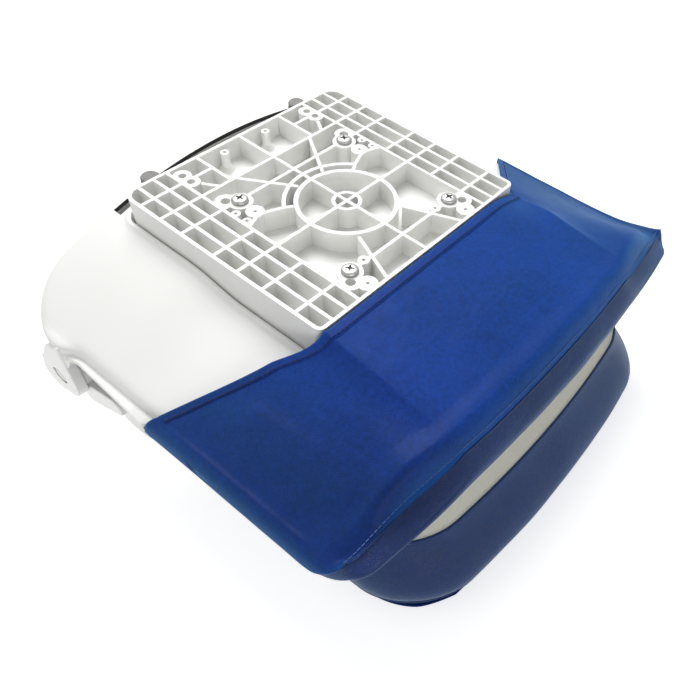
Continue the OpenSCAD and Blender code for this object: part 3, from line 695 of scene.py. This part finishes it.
def plastic(name, light, dark, rough=(0.3, 0.42)):
    """Satin moulded plastic."""
    m, nt, b = material(name)
    v = coords(nt)
    tone = noise_tex(nt, v, 9, 3, 0.5)
    col = ramp(nt, tone, [(0.3, dark), (0.7, light)])
    nt.links.new(col, b.inputs["Base Color"])
    fine = noise_tex(nt, v, 900, 2, 0.5)
    r = ramp(nt, fine, [(0.3, (rough[0],) * 3), (0.7, (rough[1],) * 3)])
    nt.links.new(r, b.inputs["Roughness"])
    n1 = bump(nt, noise_tex(nt, v, 45, 2, 0.5), 0.0004, 0.12)
    n2 = bump(nt, fine, 0.0001, 0.35, n1)
    nt.links.new(n2, b.inputs["Normal"])
    b.inputs["Specular IOR Level"].default_value = 0.5
    return m


def metal(name, colour, rough):
    m, nt, b = material(name)
    v = coords(nt)
    n = noise_tex(nt, v, 500, 4, 0.6)
    col = ramp(nt, n, [(0.3, tuple(c * 0.72 for c in colour)), (0.7, colour)])
    nt.links.new(col, b.inputs["Base Color"])
    nt.links.new(ramp(nt, n, [(0.3, (rough,) * 3), (0.8, (rough + 0.2,) * 3)]), b.inputs["Roughness"])
    nt.links.new(bump(nt, n, 0.00008, 0.4), b.inputs["Normal"])
    b.inputs["Metallic"].default_value = 1.0
    return m


def grained(name, light, dark, scale, rough, stretch=(1, 1, 1)):
    m, nt, b = material(name)
    v = coords(nt, stretch)
    n = noise_tex(nt, v, scale, 5, 0.6)
    nt.links.new(ramp(nt, n, [(0.3, dark), (0.7, light)]), b.inputs["Base Color"])
    nt.links.new(bump(nt, n, 0.0003, 0.5), b.inputs["Normal"])
    b.inputs["Roughness"].default_value = rough
    return m


WHITE = plastic("shell_white", (0.925, 0.925, 0.905), (0.895, 0.895, 0.872))
# side paints shade on the blue vinyl, darker towards both sides in x
BLUE = vinyl("blue_vinyl", (0.0080, 0.036, 0.310), (0.0040, 0.014, 0.155), gloss=0.06,
             sheen=(0.6, 0.6, (0.05, 0.42, 1)), side=(0.72, 0.50, 0.55), coat=0.07)
# A darker copy of the blue vinyl: painted shade for the bands and beads that face away from the light
BLUE_BAND_PAINTED_SHADE = vinyl("blue_vinyl_band_painted_shade", (0.005, 0.022, 0.140), (0.003, 0.013, 0.085), (0.28, 0.40), gloss=0.24,
                  sheen=(0.3, 0.6, (0.1, 0.5, 1)))
CREAM = vinyl("cream_vinyl", (0.93, 0.93, 0.865), (0.89, 0.885, 0.81), grain=0.8)
TOPSTITCH = grained("light_blue_thread", (0.10, 0.17, 0.40), (0.06, 0.11, 0.30), 900, 0.7)
THREAD = grained("blue_thread", (0.004, 0.006, 0.03), (0.002, 0.003, 0.015), 900, 0.8)
# A near-black painted shade for the shadow inside the rear slots
PAINTED_SLOT_SHADE = plastic("painted_slot_shade", (0.045, 0.045, 0.044), (0.025, 0.025, 0.024), (0.6, 0.7))
STEEL = metal("zinc_steel", (0.42, 0.42, 0.41), 0.3)
RUBBER = grained("grey_rubber", (0.27, 0.265, 0.26), (0.20, 0.195, 0.19), 400, 0.75)
BUSH = plastic("bearing_black", (0.05, 0.05, 0.05), (0.03, 0.03, 0.03))
BOARD = grained("faced_plywood", (0.030, 0.024, 0.020), (0.018, 0.014, 0.012), 30, 0.55, (1, 12, 1))


def dress(ob, mat):
    ob.data.materials.clear()
    ob.data.materials.append(mat)
    return ob


def cad(name, mat):
    ob = frame["nodes"][name]
    if ob.material_slots:
        for s in ob.material_slots:
            s.material = mat
    else:
        ob.data.materials.append(mat)


cad("mount_block", WHITE)
for n in ("block_screws", "block_nuts", "seat_board_screws", "pin_left", "pin_right", "nut_left",
          "nut_right", "back_board_screws", "washer_left", "washer_right"):
    cad(n, STEEL)
cad("bumpers", RUBBER)
for n in ("bush_left", "bush_right"):
    cad(n, BUSH)
for n in ("seat_board", "back_board"):
    cad(n, BOARD)


# Seat pan
def paint_slot_shade(ob):
    """The walls of the rear slots get the second material, a near-black painted shade for the shadow deep
    inside them.
    """
    for poly in ob.data.polygons:
        c = poly.center / MM
        y, z = c.y - SHIFT_Y, c.z - HUB_Z
        y, z = y * COS + z * SIN, z * COS - y * SIN
        inside = z < float(pan_top(np.array(c.x), np.array(y))) - 0.4
        if inside and abs(c.x) < SIDE_SLOT_OUT + 0.4 and SLOT_FRONT - 0.3 < y < SLOT_BACK + 0.4:
            poly.material_index = 1


def on_pan(xy, dz):
    return lift(xy, pan_top(xy[:, 0], xy[:, 1]) + dz)


def window_rings(w4):
    """The ledge that carries the block, and the collar round it."""
    wi, w0, w3 = (window_loop(o) for o in (-10, 0, 3.5))
    collar = pan_top(w3[:, 0], w3[:, 1]) + 1.6
    return [lift(wi, LEDGE_Z - 3.5), lift(wi, LEDGE_Z - 0.1), lift(w0, LEDGE_Z - 0.1),
            lift(w0, collar - 0.4), lift(mix(w0, w3, 0.15), collar), lift(mix(w0, w3, 0.8), collar),
            lift(w3, collar - 0.3), on_pan(w4, 0.15)]


def dome_rings(w4, e8):
    """The dome out to its edge, and the edge's rounding."""
    rings = [on_pan(mix(w4, e8, a), 0) for a in np.linspace(0.04, 1, 18)]
    for degrees in (12, 24, 36, 48, 60, 72, 84):
        phi = math.radians(degrees)
        rings.append(on_pan(pan_loop(8 * (1 - math.sin(phi))), -4.5 * (1 - math.cos(phi))))
    return rings


def wall_rings():
    """The side wall, the flange that ends as a plain wall at the rear, and the inner side."""
    e0, e35 = pan_loop(0), pan_loop(3.5)
    flanged = smooth((100 - e0[:, 1]) / 14)
    width = mix(2, mix(FLANGE_W, 5, clamp(e0[:, 1] / 85)) * flanged, smooth((e0[:, 1] + 14) / 4))
    out = pan_loop(-1) - e0
    out /= np.linalg.norm(out, axis=1)[:, None]
    foot = e0 + out * width[:, None]
    edge = pan_top(e0[:, 0], e0[:, 1])
    low = mix(WALL_Z, DECK_Z, flanged)
    top = mix(np.minimum(-60, edge - 8), FLANGE_Z, flanged)
    rim = mix(WALL_RIM_Z, FLANGE_Z, flanged)
    return [lift(e0, edge - 5.5), lift(e0, mix(edge - 5.5, top, 0.5)), lift(e0, top + 1.2),
            lift(mix(e0, foot, 0.08), top), lift(mix(e0, foot, 0.9), rim - 0.1),
            lift(foot, rim - 0.8), lift(foot, low + 0.5), lift(mix(foot, e0, 0.1), low),
            lift(e35, low), lift(e35, edge - 9)]


def pan_body():
    w4, e8 = window_loop(4.6), pan_loop(8)
    rings = window_rings(w4) + dome_rings(w4, e8) + wall_rings()
    rings += [on_pan(mix(w4, e8, a), -PAN_T) for a in (0.95, 0.65, 0.3, 0.0)]
    return ring_mesh("pan_body", rings, seat_frame, closed=True)


def slot_cutters():
    """The middle slot, and on each side a slot and the bumper's seat."""
    cuts = [box_mesh((-SLOT_W, SLOT_FRONT, -32), (SLOT_W, SLOT_BACK, 8), seat_frame)]
    for s in (-1, 1):
        lo, hi = sorted((s * SIDE_SLOT_IN, s * SIDE_SLOT_OUT))
        cuts.append(box_mesh((lo, SLOT_FRONT, -48), (hi, SLOT_BACK, 4), seat_frame))
        foot, head = (s * BUMPER_X, BUMPER_Y, BUMPER_Z - 0.02), (s * BUMPER_X, BUMPER_Y, 8)
        cuts.append(rod_mesh(foot, head, 8.9, seat_frame))
    return cuts


def pan_ear(s):
    web = [(PIN_Y - 24, -PIN_Z), (PIN_Y - 24, FLANGE_Z + 5.5), (PIN_Y - 4, FLANGE_Z - 4),
           (PIN_Y + 7, FLANGE_Z - 17), (PIN_Y + 28.8, -PIN_Z - 6), (PIN_Y + 8, -PIN_Z - 24),
           (PIN_Y - 2, -PIN_Z - 23.5)]
    polys = [circle(PIN_Y, -PIN_Z, 24), circle(PIN_Y + 14, -PIN_Z - 13, 16), web]
    ear = fused("ear", polys, s * EAR_IN, s * EAR_OUT, seat_frame)
    past = (s * (EAR_OUT + 4), PIN_Y, -PIN_Z)
    recess = rod_mesh((s * (EAR_OUT - 3), PIN_Y, -PIN_Z), past, 9, seat_frame)
    bore = rod_mesh((s * (EAR_IN - 4), PIN_Y, -PIN_Z), past, PIN_R + 0.2, seat_frame)
    return cut(ear, [recess, bore])


def bumper_seat(s):
    foot, head = (s * BUMPER_X, BUMPER_Y, BUMPER_Z - 5), (s * BUMPER_X, BUMPER_Y, BUMPER_Z - 0.02)
    return rod_mesh(foot, head, 9.4, seat_frame)


def seat_pan():
    body = pan_body()
    floor_plate = box_mesh((-122, -89, LEDGE_Z - 3.7), (122, 136, LEDGE_Z - 0.5), seat_frame)
    cut(body, slot_cutters())
    paint_slot_shade(body)
    parts = [body, floor_plate]
    for s in (-1, 1):
        parts += [pan_ear(s), bumper_seat(s)]
    ob = joined("pan_shell", parts)
    shade_smooth(ob)
    return sharpen(ob, 38)


pan = seat_pan()
pan.data.materials.append(WHITE)
# The second material paints shade on the slot walls
pan.data.materials.append(PAINTED_SLOT_SHADE)
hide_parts("seat_shell")
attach(pan, "seat")


# Seat cover: pocket over the front of the pan
def bump_at(x, middle, width):
    return np.exp(-((x - middle) / width) ** 2)


def pocket_surface(u, v):
    x = u * SEAM_W
    turn = clamp((v - ROLL_V) / (1 - ROLL_V))
    xr = x * (1 - np.where(x < 0, CORNER_IN, 0.0) * turn ** 2)
    y = mix(hem_y(x), seam_y(xr), v)
    # the sides roll over the pan's edge
    side = np.sign(x) * PAN_W
    past = clamp((np.abs(x) - PAN_W) / (SEAM_W - PAN_W))
    inner = pocket_z(np.where(past > 0, side, x), y, v)
    z = mix(inner, pocket_at(x, v, 1.0), 1 - np.sqrt(1 - past ** 2))
    # two low ridges leave a long soft valley between them beside the near side edge
    open_v = smooth((v - 0.03) / 0.2) * smooth((ROLL_V - v) / 0.12)
    z = z + open_v * (4.5 * bump_at(x, -192, 14) + 2.0 * bump_at(x, -231, 6))
    # the front swells before it turns down and back into its seam, lowest by the near corner
    near = bump_at(x, -175, 36)
    drop = FRONT_DROP * (1 - 0.55 * smooth((np.abs(x) - 140) / 70)) + 0.5 * NEAR_DROP * near
    z = z + 2.2 * smooth((v - ROLL_V + 0.12) / 0.12) * np.sqrt(1 - turn ** 2) * (1 - past)
    z = z - drop * (1 - 0.6 * past) * turn ** 1.5
    y = y + (TUCK + 4 * near) * turn ** 2
    return np.stack([xr, y, z], -1)


def seat_pocket():
    u = np.concatenate([-np.linspace(1, 0.0, 130)[:-1] ** 0.85, np.linspace(0, 1, 130) ** 0.85])
    rows = [np.linspace(0, 0.06, 8)[:-1], np.linspace(0.06, 0.86, 76)[:-1], np.linspace(0.86, 1, 32)]
    uu, vv = np.meshgrid(u, np.concatenate(rows))
    top = pocket_surface(uu, vv)
    low = top.copy()
    low[..., 2] -= SKIN
    ob = grid_mesh("pocket_cover", top, low, seat_frame)
    wrinkle(ob, 0.5, 0.05, 3)
    wrinkle(ob, 0.25, 0.014, 5)
    return ob


pocket = dress(seat_pocket(), BLUE)
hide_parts("seat_pocket")
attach(pocket, "seat")


def seat_hem():
    u = np.linspace(-1, 1, 321)
    rows = []
    for t in np.linspace(0, 1, 9):
        base = pocket_surface(u * 0.997, np.zeros_like(u))
        y = base[:, 1] - (-0.6 + 9.6 * t)
        x = base[:, 0]
        z = pocket_z(x, y, pocket_v(x, y))
        h = 0.55 * min(1.0, math.sqrt(max(0.0, 1 - (2 * t - 1) ** 6)) + 0.05)
        rows.append(np.stack([x, y, z + 0.25 + h], -1))
    top = np.stack(rows)
    low = top.copy()
    low[..., 2] = top[..., 2] - 1.2
    low[0, :, 2] = top[0, :, 2] - 2.0
    return grid_mesh("pocket_hem", top, low, seat_frame)


hem = dress(seat_hem(), BLUE)
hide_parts("seat_hem")
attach(hem, "seat")


def hem_path(d, dz):
    x = np.linspace(-SEAM_W * 0.993, SEAM_W * 0.993, 400)
    y = hem_y(x) - d
    return np.stack([x, y, pocket_z(x, y, pocket_v(x, y)) + dz], -1)


hem_thread = dress(stitches("hem_stitches", hem_path(7.2, 0.85), seat_frame, r=0.45), THREAD)
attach(hem_thread, "seat")


# Seat cover: band round the cushion
def swell_y(y, d):
    return y - d * smooth((-185 - y) / 30)


def square_corner(w, yf, yb, rb):
    """The outline of cush_loop with square front corners, point for point."""
    pts = outline(w, yf, yb, CUSH_R, rb)
    corners = ((END_STEPS, w - CUSH_R, -90), (len(pts) - CORNER_STEPS, CUSH_R - w, 180))
    for start, cx, first in corners:
        for j in range(CORNER_STEPS):
            a = math.radians(first + 90 * j / CORNER_STEPS)
            k = CUSH_R / max(abs(math.cos(a)), abs(math.sin(a)))
            pts[start + j] = (cx + k * math.cos(a), yf + CUSH_R + k * math.sin(a))
    return pts


def boxing_rows(inset=0.0):
    top = bow(waist(square_corner(CUSH_W - 0.2 - inset, inset - CUSH_FRONT, 112 - inset, 20)))
    mid = cush_loop(1 + inset)
    low = cush_loop(4 + inset)
    vt = pocket_v(top[:, 0], top[:, 1])
    edge = pocket_surface(top[:, 0] / SEAM_W, vt)
    behind = smooth((top[:, 1] + 20) / 8)
    z_top = mix(edge[:, 2] - SKIN * 0.8, DECK_Z - 0.8, behind)
    top = mix(edge[:, :2] * (1 - inset / SEAM_W), top, behind[:, None])
    z_low = seam_z(swell_y(low[:, 1], 6))
    rows = []
    for t in np.linspace(0, 1, 15):
        a = smooth(t / 0.5) if t < 0.5 else 1.0
        xy = mix(top, mid, a)
        xy = mix(xy, low, clamp((t - 0.6) / 0.4) ** 2)
        if t < 0.62:
            d = 7.2 * math.sin(math.pi * (t / 0.62) / 2)
        else:
            d = 7.2 - 1.2 * ((t - 0.62) / 0.38) ** 2
        xy = xy.copy()
        xy[:, 1] = swell_y(xy[:, 1], d)
        rows.append(lift(xy, mix(z_top, z_low, t)))
    return rows


def seat_boxing():
    outer = boxing_rows()
    inner = boxing_rows(SKIN)
    ob = ring_mesh("front_boxing", outer + inner[::-1], seat_frame, closed=True)
    wrinkle(ob, 0.7, 0.035, 7)
    return ob


boxing = dress(seat_boxing(), BLUE_BAND_PAINTED_SHADE)
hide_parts("seat_boxing")
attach(boxing, "seat")


# Cushions
def crown_rows(base, centre_y, zc, seam, h, power, mixp, fullness, sign):
    rows = []
    for a in np.cos(np.linspace(0, math.pi / 2, 26))[:-1]:
        xy = np.column_stack([base[:, 0] * a, mix(centre_y, base[:, 1], a)])
        z = mix(zc, seam, a ** mixp) + sign * h * (1 - a ** power) ** fullness
        rows.append(lift(xy, z))
    return rows


def plump(ob, held):
    """An even copy, filled by cloth under a little pressure, passes its swelling on to the pad."""
    cap, voxel, frames = 3.5, 5.0, 20
    even = linked("even", ob.data.copy())
    m = even.modifiers.new("even", "REMESH")
    m.mode = "VOXEL"
    m.voxel_size = voxel * MM
    apply_modifiers(even)
    group = even.vertex_groups.new(name="held")
    before = np.array([tuple(v.co) for v in even.data.vertices])
    group.add([int(i) for i in np.nonzero(held(before))[0]], 1.0, "REPLACE")
    mod = even.modifiers.new("cloth", "CLOTH")
    cs = mod.settings
    cs.quality = 5
    cs.mass = 0.3
    cs.tension_stiffness = 15
    cs.compression_stiffness = 15
    cs.shear_stiffness = 8
    cs.bending_stiffness = 2
    cs.use_pressure = True
    cs.uniform_pressure_force = 4
    cs.effector_weights.gravity = 0
    cs.vertex_group_mass = "held"
    mod.point_cache.frame_start = 1
    mod.point_cache.frame_end = frames
    for f in range(1, frames + 1):
        bpy.context.scene.frame_set(f)
    deps = bpy.context.evaluated_depsgraph_get()
    after = np.array([tuple(v.co) for v in even.evaluated_get(deps).data.vertices])
    bpy.context.scene.frame_set(1)
    bpy.data.objects.remove(even)
    move = after - before
    length = np.linalg.norm(move, axis=1)
    move *= np.minimum(1.0, cap * MM / np.maximum(length, 1e-9))[:, None]
    tree = kdtree.KDTree(len(before))
    for i, p in enumerate(before):
        tree.insert(p, i)
    tree.balance()
    co = np.array([tuple(v.co) for v in ob.data.vertices])
    fixed = held(co)
    for i, p in enumerate(co):
        if not fixed[i]:
            near = tree.find_n(p, 5)
            w = np.array([1 / (d + 0.001) for _, _, d in near])
            co[i] = p + (move[[j for _, j, _ in near]] * w[:, None]).sum(0) / w.sum()
    ob.data.vertices.foreach_set("co", co.ravel())
    ob.data.update()
    return ob


def seat_cushion():
    """Its front edge turns up before the pan's front wall, so the inner side follows the crown there."""
    base = cush_loop(4.8)
    base[:, 1] = swell_y(base[:, 1], 5.6)
    seam = seam_z(base[:, 1])
    middle = (-CUSH_FRONT + CUSH_REAR) / 2
    rows = crown_rows(base, middle, SEAT_MID_Z, seam, SEAT_CROWN, 3.2, 4, 0.4, -1)
    inner = []
    for a, thick in ((0.86, 5), (0.9, 7), (0.93, 9), (0.955, 8), (0.985, 4)):
        crown = mix(SEAT_MID_Z, seam, a ** 4) - SEAT_CROWN * (1 - a ** 3.2) ** 0.4
        xy = np.column_stack([base[:, 0] * a, mix(middle, base[:, 1], a)])
        inner.append(lift(xy, np.maximum(DECK_Z - BOARD_T - 0.6, crown + thick)))
    return ring_mesh("seat_cushion", inner + rows, seat_frame, caps=True)


def back_cushion():
    base = bow_back(outline(183.3, -222.3, 110.3, 59.3, 17.3))
    seam = np.full(len(base), BACK_SEAM + 1.0)
    rows = crown_rows(base, -55, BACK_SEAM + 1, seam, BACK_CROWN, 3, 4, 1.0, 1)
    inner = bow_back(outline(178, -217, 105, 54, 12))
    back = [lift(inner, BACK_SEAM - 2), lift(inner, BOARD_Z + BOARD_T + 0.6)]
    return ring_mesh("back_cushion", back[::-1] + rows, floor_frame, caps=True)


def seat_held(co):
    """Points of the seat pad at its seam and above it."""
    local_z = (co[:, 2] / MM - HUB_Z) * COS - (co[:, 1] / MM - SHIFT_Y) * SIN
    local_y = (co[:, 1] / MM - SHIFT_Y) * COS + (co[:, 2] / MM - HUB_Z) * SIN
    return local_z > np.minimum(seam_z(local_y), -84) - 3


def back_held(co):
    return co[:, 2] / MM < BACK_SEAM + 3


seat_pad = dress(plump(seat_cushion(), seat_held), CREAM)
wrinkle(seat_pad, 0.8, 0.06, 11)
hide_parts("seat_panel", "seat_foam")
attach(seat_pad, "seat")

back_pad = dress(plump(back_cushion(), back_held), CREAM)
wrinkle(back_pad, 0.8, 0.06, 13)
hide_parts("back_panel", "back_foam")
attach(back_pad, "backrest")


# Backrest tray and arms
def tangent(a, b, s):
    d = (b[0] - a[0], b[1] - a[1])
    t = math.atan2(d[1], d[0])
    q = t + s * math.acos((a[2] - b[2]) / math.hypot(*d))
    return ((a[0] + a[2] * math.cos(q), a[1] + a[2] * math.sin(q)),
            (b[0] + b[2] * math.cos(q), b[1] + b[2] * math.sin(q)))


HINGE_Y = PIN_Y * COS + PIN_Z * SIN
HINGE_Z = HUB_Z + PIN_Y * SIN - PIN_Z * COS


def tray_body():
    o0, i0 = tray_loop(0), tray_loop(4)
    rim = mix(RIM_Z, 58, smooth((o0[:, 1] - 113) / 8))
    rings = [lift(tray_loop(o), TRAY_Z + up) for o, up in
             ((56, 0), (30, 0.4), (14, 3), (8, 5.6), (4, 9), (1.3, 13))]
    rings += [lift(o0, TRAY_Z + 18), lift(o0, rim - 1), lift(mix(o0, i0, 0.2), rim),
              lift(mix(o0, i0, 0.8), rim), lift(i0, rim - 1), lift(i0, TRAY_Z + 19)]
    rings += [lift(tray_loop(o), TRAY_Z + up) for o, up in ((9, 11), (18, 6), (56, 3.6))]
    return ring_mesh("tray", rings, floor_frame, caps=True)


def back_arm(s):
    a, b = (125, 98, 14), (80, 108, 10)
    t1, t2 = tangent(a, b, 1), tangent(a, b, -1)
    polys = [circle(HINGE_Y, HINGE_Z, 20), circle(*a), circle(*b), [t1[0], t1[1], t2[1], t2[0]]]
    arm = fused("arm", polys, s * ARM_IN, s * ARM_OUT, floor_frame)
    near, past = (s * (ARM_IN - 3), HINGE_Y, HINGE_Z), (s * (ARM_OUT + 3), HINGE_Y, HINGE_Z)
    return cut(arm, [rod_mesh(near, past, BUSH_R + 0.05, floor_frame)])


def gusset(s):
    """Ties an arm to the tray's side."""
    g = [(196, 16), (203, 16), (203.5, 50), (217, 66), (217, 96), (200, 96), (196, 60)]
    pts = [(s * x, y, z) for y in (116, 142) for x, z in g]
    k = len(g)
    faces = [tuple(range(k)), tuple(range(2 * k - 1, k - 1, -1))]
    faces += [(i, (i + 1) % k, k + (i + 1) % k, k + i) for i in range(k)]
    return outward(make("gusset", floor_frame(pts), faces))


def tray_posts(s):
    """The rear block, two feet and three board bosses of one side."""
    lo, hi = sorted((s * 150, s * 172))
    posts = [box_mesh((lo, 160, 16), (hi, 171.5, 78), floor_frame)]
    for y in (40, 150):
        posts.append(rod_mesh((s * 120, y, 0), (s * 120, y, TRAY_Z + 3), 9, floor_frame))
    for y in (-150, 0, 85):
        posts.append(rod_mesh((s * 150, y, TRAY_Z + 2), (s * 150, y, RIM_Z), 6, floor_frame))
    return posts


def back_tray():
    parts = [tray_body()]
    for s in (-1, 1):
        parts += [back_arm(s), gusset(s), *tray_posts(s)]
    for x in (-120, -60, 0, 60, 120):
        parts.append(box_mesh((x - 1.5, 112, 7), (x + 1.5, 170, 47), floor_frame))
    parts.append(box_mesh((-196, 112, 9), (196, 115, RIM_Z), floor_frame))
    ob = joined("back_tray", parts)
    shade_smooth(ob)
    return sharpen(ob, 38)


tray = dress(back_tray(), WHITE)
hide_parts("back_shell")
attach(tray, "backrest")


# Backrest covers
def low_z(y):
    return mix(14, 51.5, smooth((y - 30) / 45))


def back_boxing_rows(inset=0.0):
    def loop(w, yf, rf):
        return bow_back(outline(w - inset, inset - yf, BACK_COVER_REAR - inset, rf - inset, 18 - inset))

    ts = np.array([0.0, 0.25, 0.6, 1.0])
    pts = np.stack([loop(191, 241, 62), loop(196, 247, 64), loop(192, 236, 62), loop(184, 223, 60)])
    z0 = low_z(pts[0][:, 1])
    rows = []
    for t in np.linspace(0, 1, 17):
        # the cubic through all four outlines keeps the band round
        weights = []
        for i in range(4):
            weight = 1.0
            for j in range(4):
                if j != i:
                    weight *= (t - ts[j]) / (ts[i] - ts[j])
            weights.append(weight)
        xy = sum(weight * pts[i] for i, weight in enumerate(weights))
        rows.append(lift(xy, mix(z0, BACK_SEAM, t)))
    return rows


def back_boxing():
    rings = back_boxing_rows() + back_boxing_rows(SKIN)[::-1]
    ob = ring_mesh("back_boxing_cover", rings, floor_frame, closed=True)
    wrinkle(ob, 0.9, 0.045, 17)
    return ob


back_band = dress(back_boxing(), BLUE_BAND_PAINTED_SHADE)
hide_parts("back_boxing")
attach(back_band, "backrest")


def under_surface(u, v):
    w = 191 - 44 * clamp((v - 0.7) / 0.3) ** 2.6
    x = u * w
    y = mix(back_hem_y(x), -241 + 7 * (np.abs(x) / 120) ** 2, v)
    return np.stack([x, y, under_z(x, y)], -1)


def back_pocket():
    uu, vv = np.meshgrid(np.linspace(-1, 1, 161), np.linspace(0, 1, 81))
    low = under_surface(uu, vv)
    top = low.copy()
    top[..., 2] += SKIN
    return grid_mesh("back_pocket_cover", top, low, floor_frame)


back_cover = dress(back_pocket(), BLUE)
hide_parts("back_pocket", "back_hem")
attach(back_cover, "backrest")


# Beads and stitches along the seams
def seat_low_seam():
    low = cush_loop(4.2)
    low[:, 1] = swell_y(low[:, 1], 6)
    return lift(low, seam_z(low[:, 1]) - 0.3)


def front_edge(d, dz):
    x = np.linspace(-SEAM_W * 0.985, SEAM_W * 0.985, 500)
    p = pocket_surface(x / SEAM_W, np.ones_like(x))
    p[:, 1] -= d
    p[:, 2] += dz
    return p


def back_low_seam():
    """The band's lower seam, from one end of its open run to the other."""
    loop = bow_back(outline(191.5, -241.5, BACK_COVER_REAR, 62, 18))
    sewn = loop[:, 1] < 30
    order = np.roll(np.arange(len(loop)), -int(np.argmax(~sewn)))
    return lift(loop[[i for i in order if sewn[i]]], 13.2)


low_path = resample(seat_low_seam(), 2.5, True)
low_bead = dress(tube_mesh("seat_seam_bead", low_path, 1.5, seat_frame, closed=True), BLUE_BAND_PAINTED_SHADE)
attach(low_bead, "seat")
top_path = resample(front_edge(0.3, -0.9), 2.5)
top_bead = dress(tube_mesh("seat_front_seam", top_path, 1.1, seat_frame), BLUE_BAND_PAINTED_SHADE)
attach(top_bead, "seat")


def front_row(v, dz):
    x = np.linspace(-SEAM_W * 0.97, SEAM_W * 0.97, 500)
    p = pocket_surface(x / SEAM_W, np.full_like(x, v))
    p[:, 2] += dz
    return p


front_thread = dress(stitches("front_stitches", front_row(0.972, 0.35), seat_frame, r=0.42), TOPSTITCH)
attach(front_thread, "seat")

back_path = resample(lift(cover_loop(184, 223, 60), BACK_SEAM + 0.6), 2.5, True)
back_bead = dress(tube_mesh("back_seam_bead", back_path, 1.6, floor_frame, closed=True), BLUE_BAND_PAINTED_SHADE)
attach(back_bead, "backrest")
back_low_path = resample(back_low_seam(), 2.5)
back_low_bead = dress(tube_mesh("back_lower_bead", back_low_path, 1.5, floor_frame), BLUE_BAND_PAINTED_SHADE)
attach(back_low_bead, "backrest")


# Stage, light, camera
SKY, FLOOR_GLOW = 0.31, 0.68


def seen_directly(nt):
    """1 for rays from the camera and for those that a shiny or clear surface sends on."""
    lp = node(nt, "ShaderNodeLightPath")
    sent_on = math_node(nt, "MAXIMUM", lp.outputs["Is Glossy Ray"], lp.outputs["Is Transmission Ray"])
    return math_node(nt, "MAXIMUM", lp.outputs["Is Camera Ray"], sent_on)


def floor_white():
    m, nt, b = material("floor_white")
    n = noise_tex(nt, coords(nt), 3, 2, 0.5)
    col = ramp(nt, n, [(0.3, (0.80, 0.80, 0.80)), (0.7, (0.83, 0.83, 0.83))])
    nt.links.new(col, b.inputs["Base Color"])
    b.inputs["Roughness"].default_value = 0.9
    b.inputs["Specular IOR Level"].default_value = 0.1
    glow = node(nt, "ShaderNodeEmission")
    nt.links.new(math_node(nt, "MULTIPLY", seen_directly(nt), FLOOR_GLOW), glow.inputs["Strength"])
    add = node(nt, "ShaderNodeAddShader")
    nt.links.new(b.outputs[0], add.inputs[0])
    nt.links.new(glow.outputs[0], add.inputs[1])
    nt.links.new(add.outputs[0], nt.nodes["Material Output"].inputs["Surface"])
    return m


def stage():
    bm = bmesh.new()
    bmesh.ops.create_grid(bm, x_segments=1, y_segments=1, size=6)
    ob = from_bmesh("floor", bm)
    ob.data.materials.append(floor_white())


def world():
    w = bpy.data.worlds.new("studio")
    bpy.context.scene.world = w
    w.use_nodes = True
    nt = w.node_tree
    bg = nt.nodes["Background"]
    bg.inputs["Color"].default_value = (1, 1, 1, 1)
    extra = math_node(nt, "MULTIPLY", seen_directly(nt), 1 - SKY)
    nt.links.new(math_node(nt, "ADD", extra, SKY), bg.inputs["Strength"])


def lamp(name, loc, target, size, power):
    light = bpy.data.lights.new(name, "AREA")
    light.shape = "RECTANGLE"
    light.size, light.size_y = size
    light.energy = power
    ob = linked(name, light)
    ob.location = loc
    ob.rotation_euler = (Vector(target) - Vector(loc)).to_track_quat("-Z", "Y").to_euler()


def camera():
    cam = bpy.data.cameras.new("camera")
    cam.sensor_fit = "HORIZONTAL"
    cam.sensor_width = 36
    cam.lens = 36.5245
    cam.shift_x = -0.169055
    cam.shift_y = 0.010804
    cam.clip_start = 0.01
    ob = linked("camera", cam)
    ob.location = (-0.360564, -0.368097, 0.578813)
    ob.rotation_euler = tuple(math.radians(a) for a in (44.225122, -0.002958, -53.034864))
    bpy.context.scene.camera = ob


stage()
world()
lamp("key", (0.45, 0.62, 1.6), (0, 0, 0.15), (1.2, 1.0), 26)
lamp("fill", (-1.3, 0.7, 1.1), (0, 0, 0.15), (1.2, 1.0), 3)
lamp("front", (-0.8, -1.4, 0.26), (0.05, -0.2, 0.1), (1.2, 0.4), 5.5)
camera()
bpy.context.scene.view_settings.view_transform = "Standard"
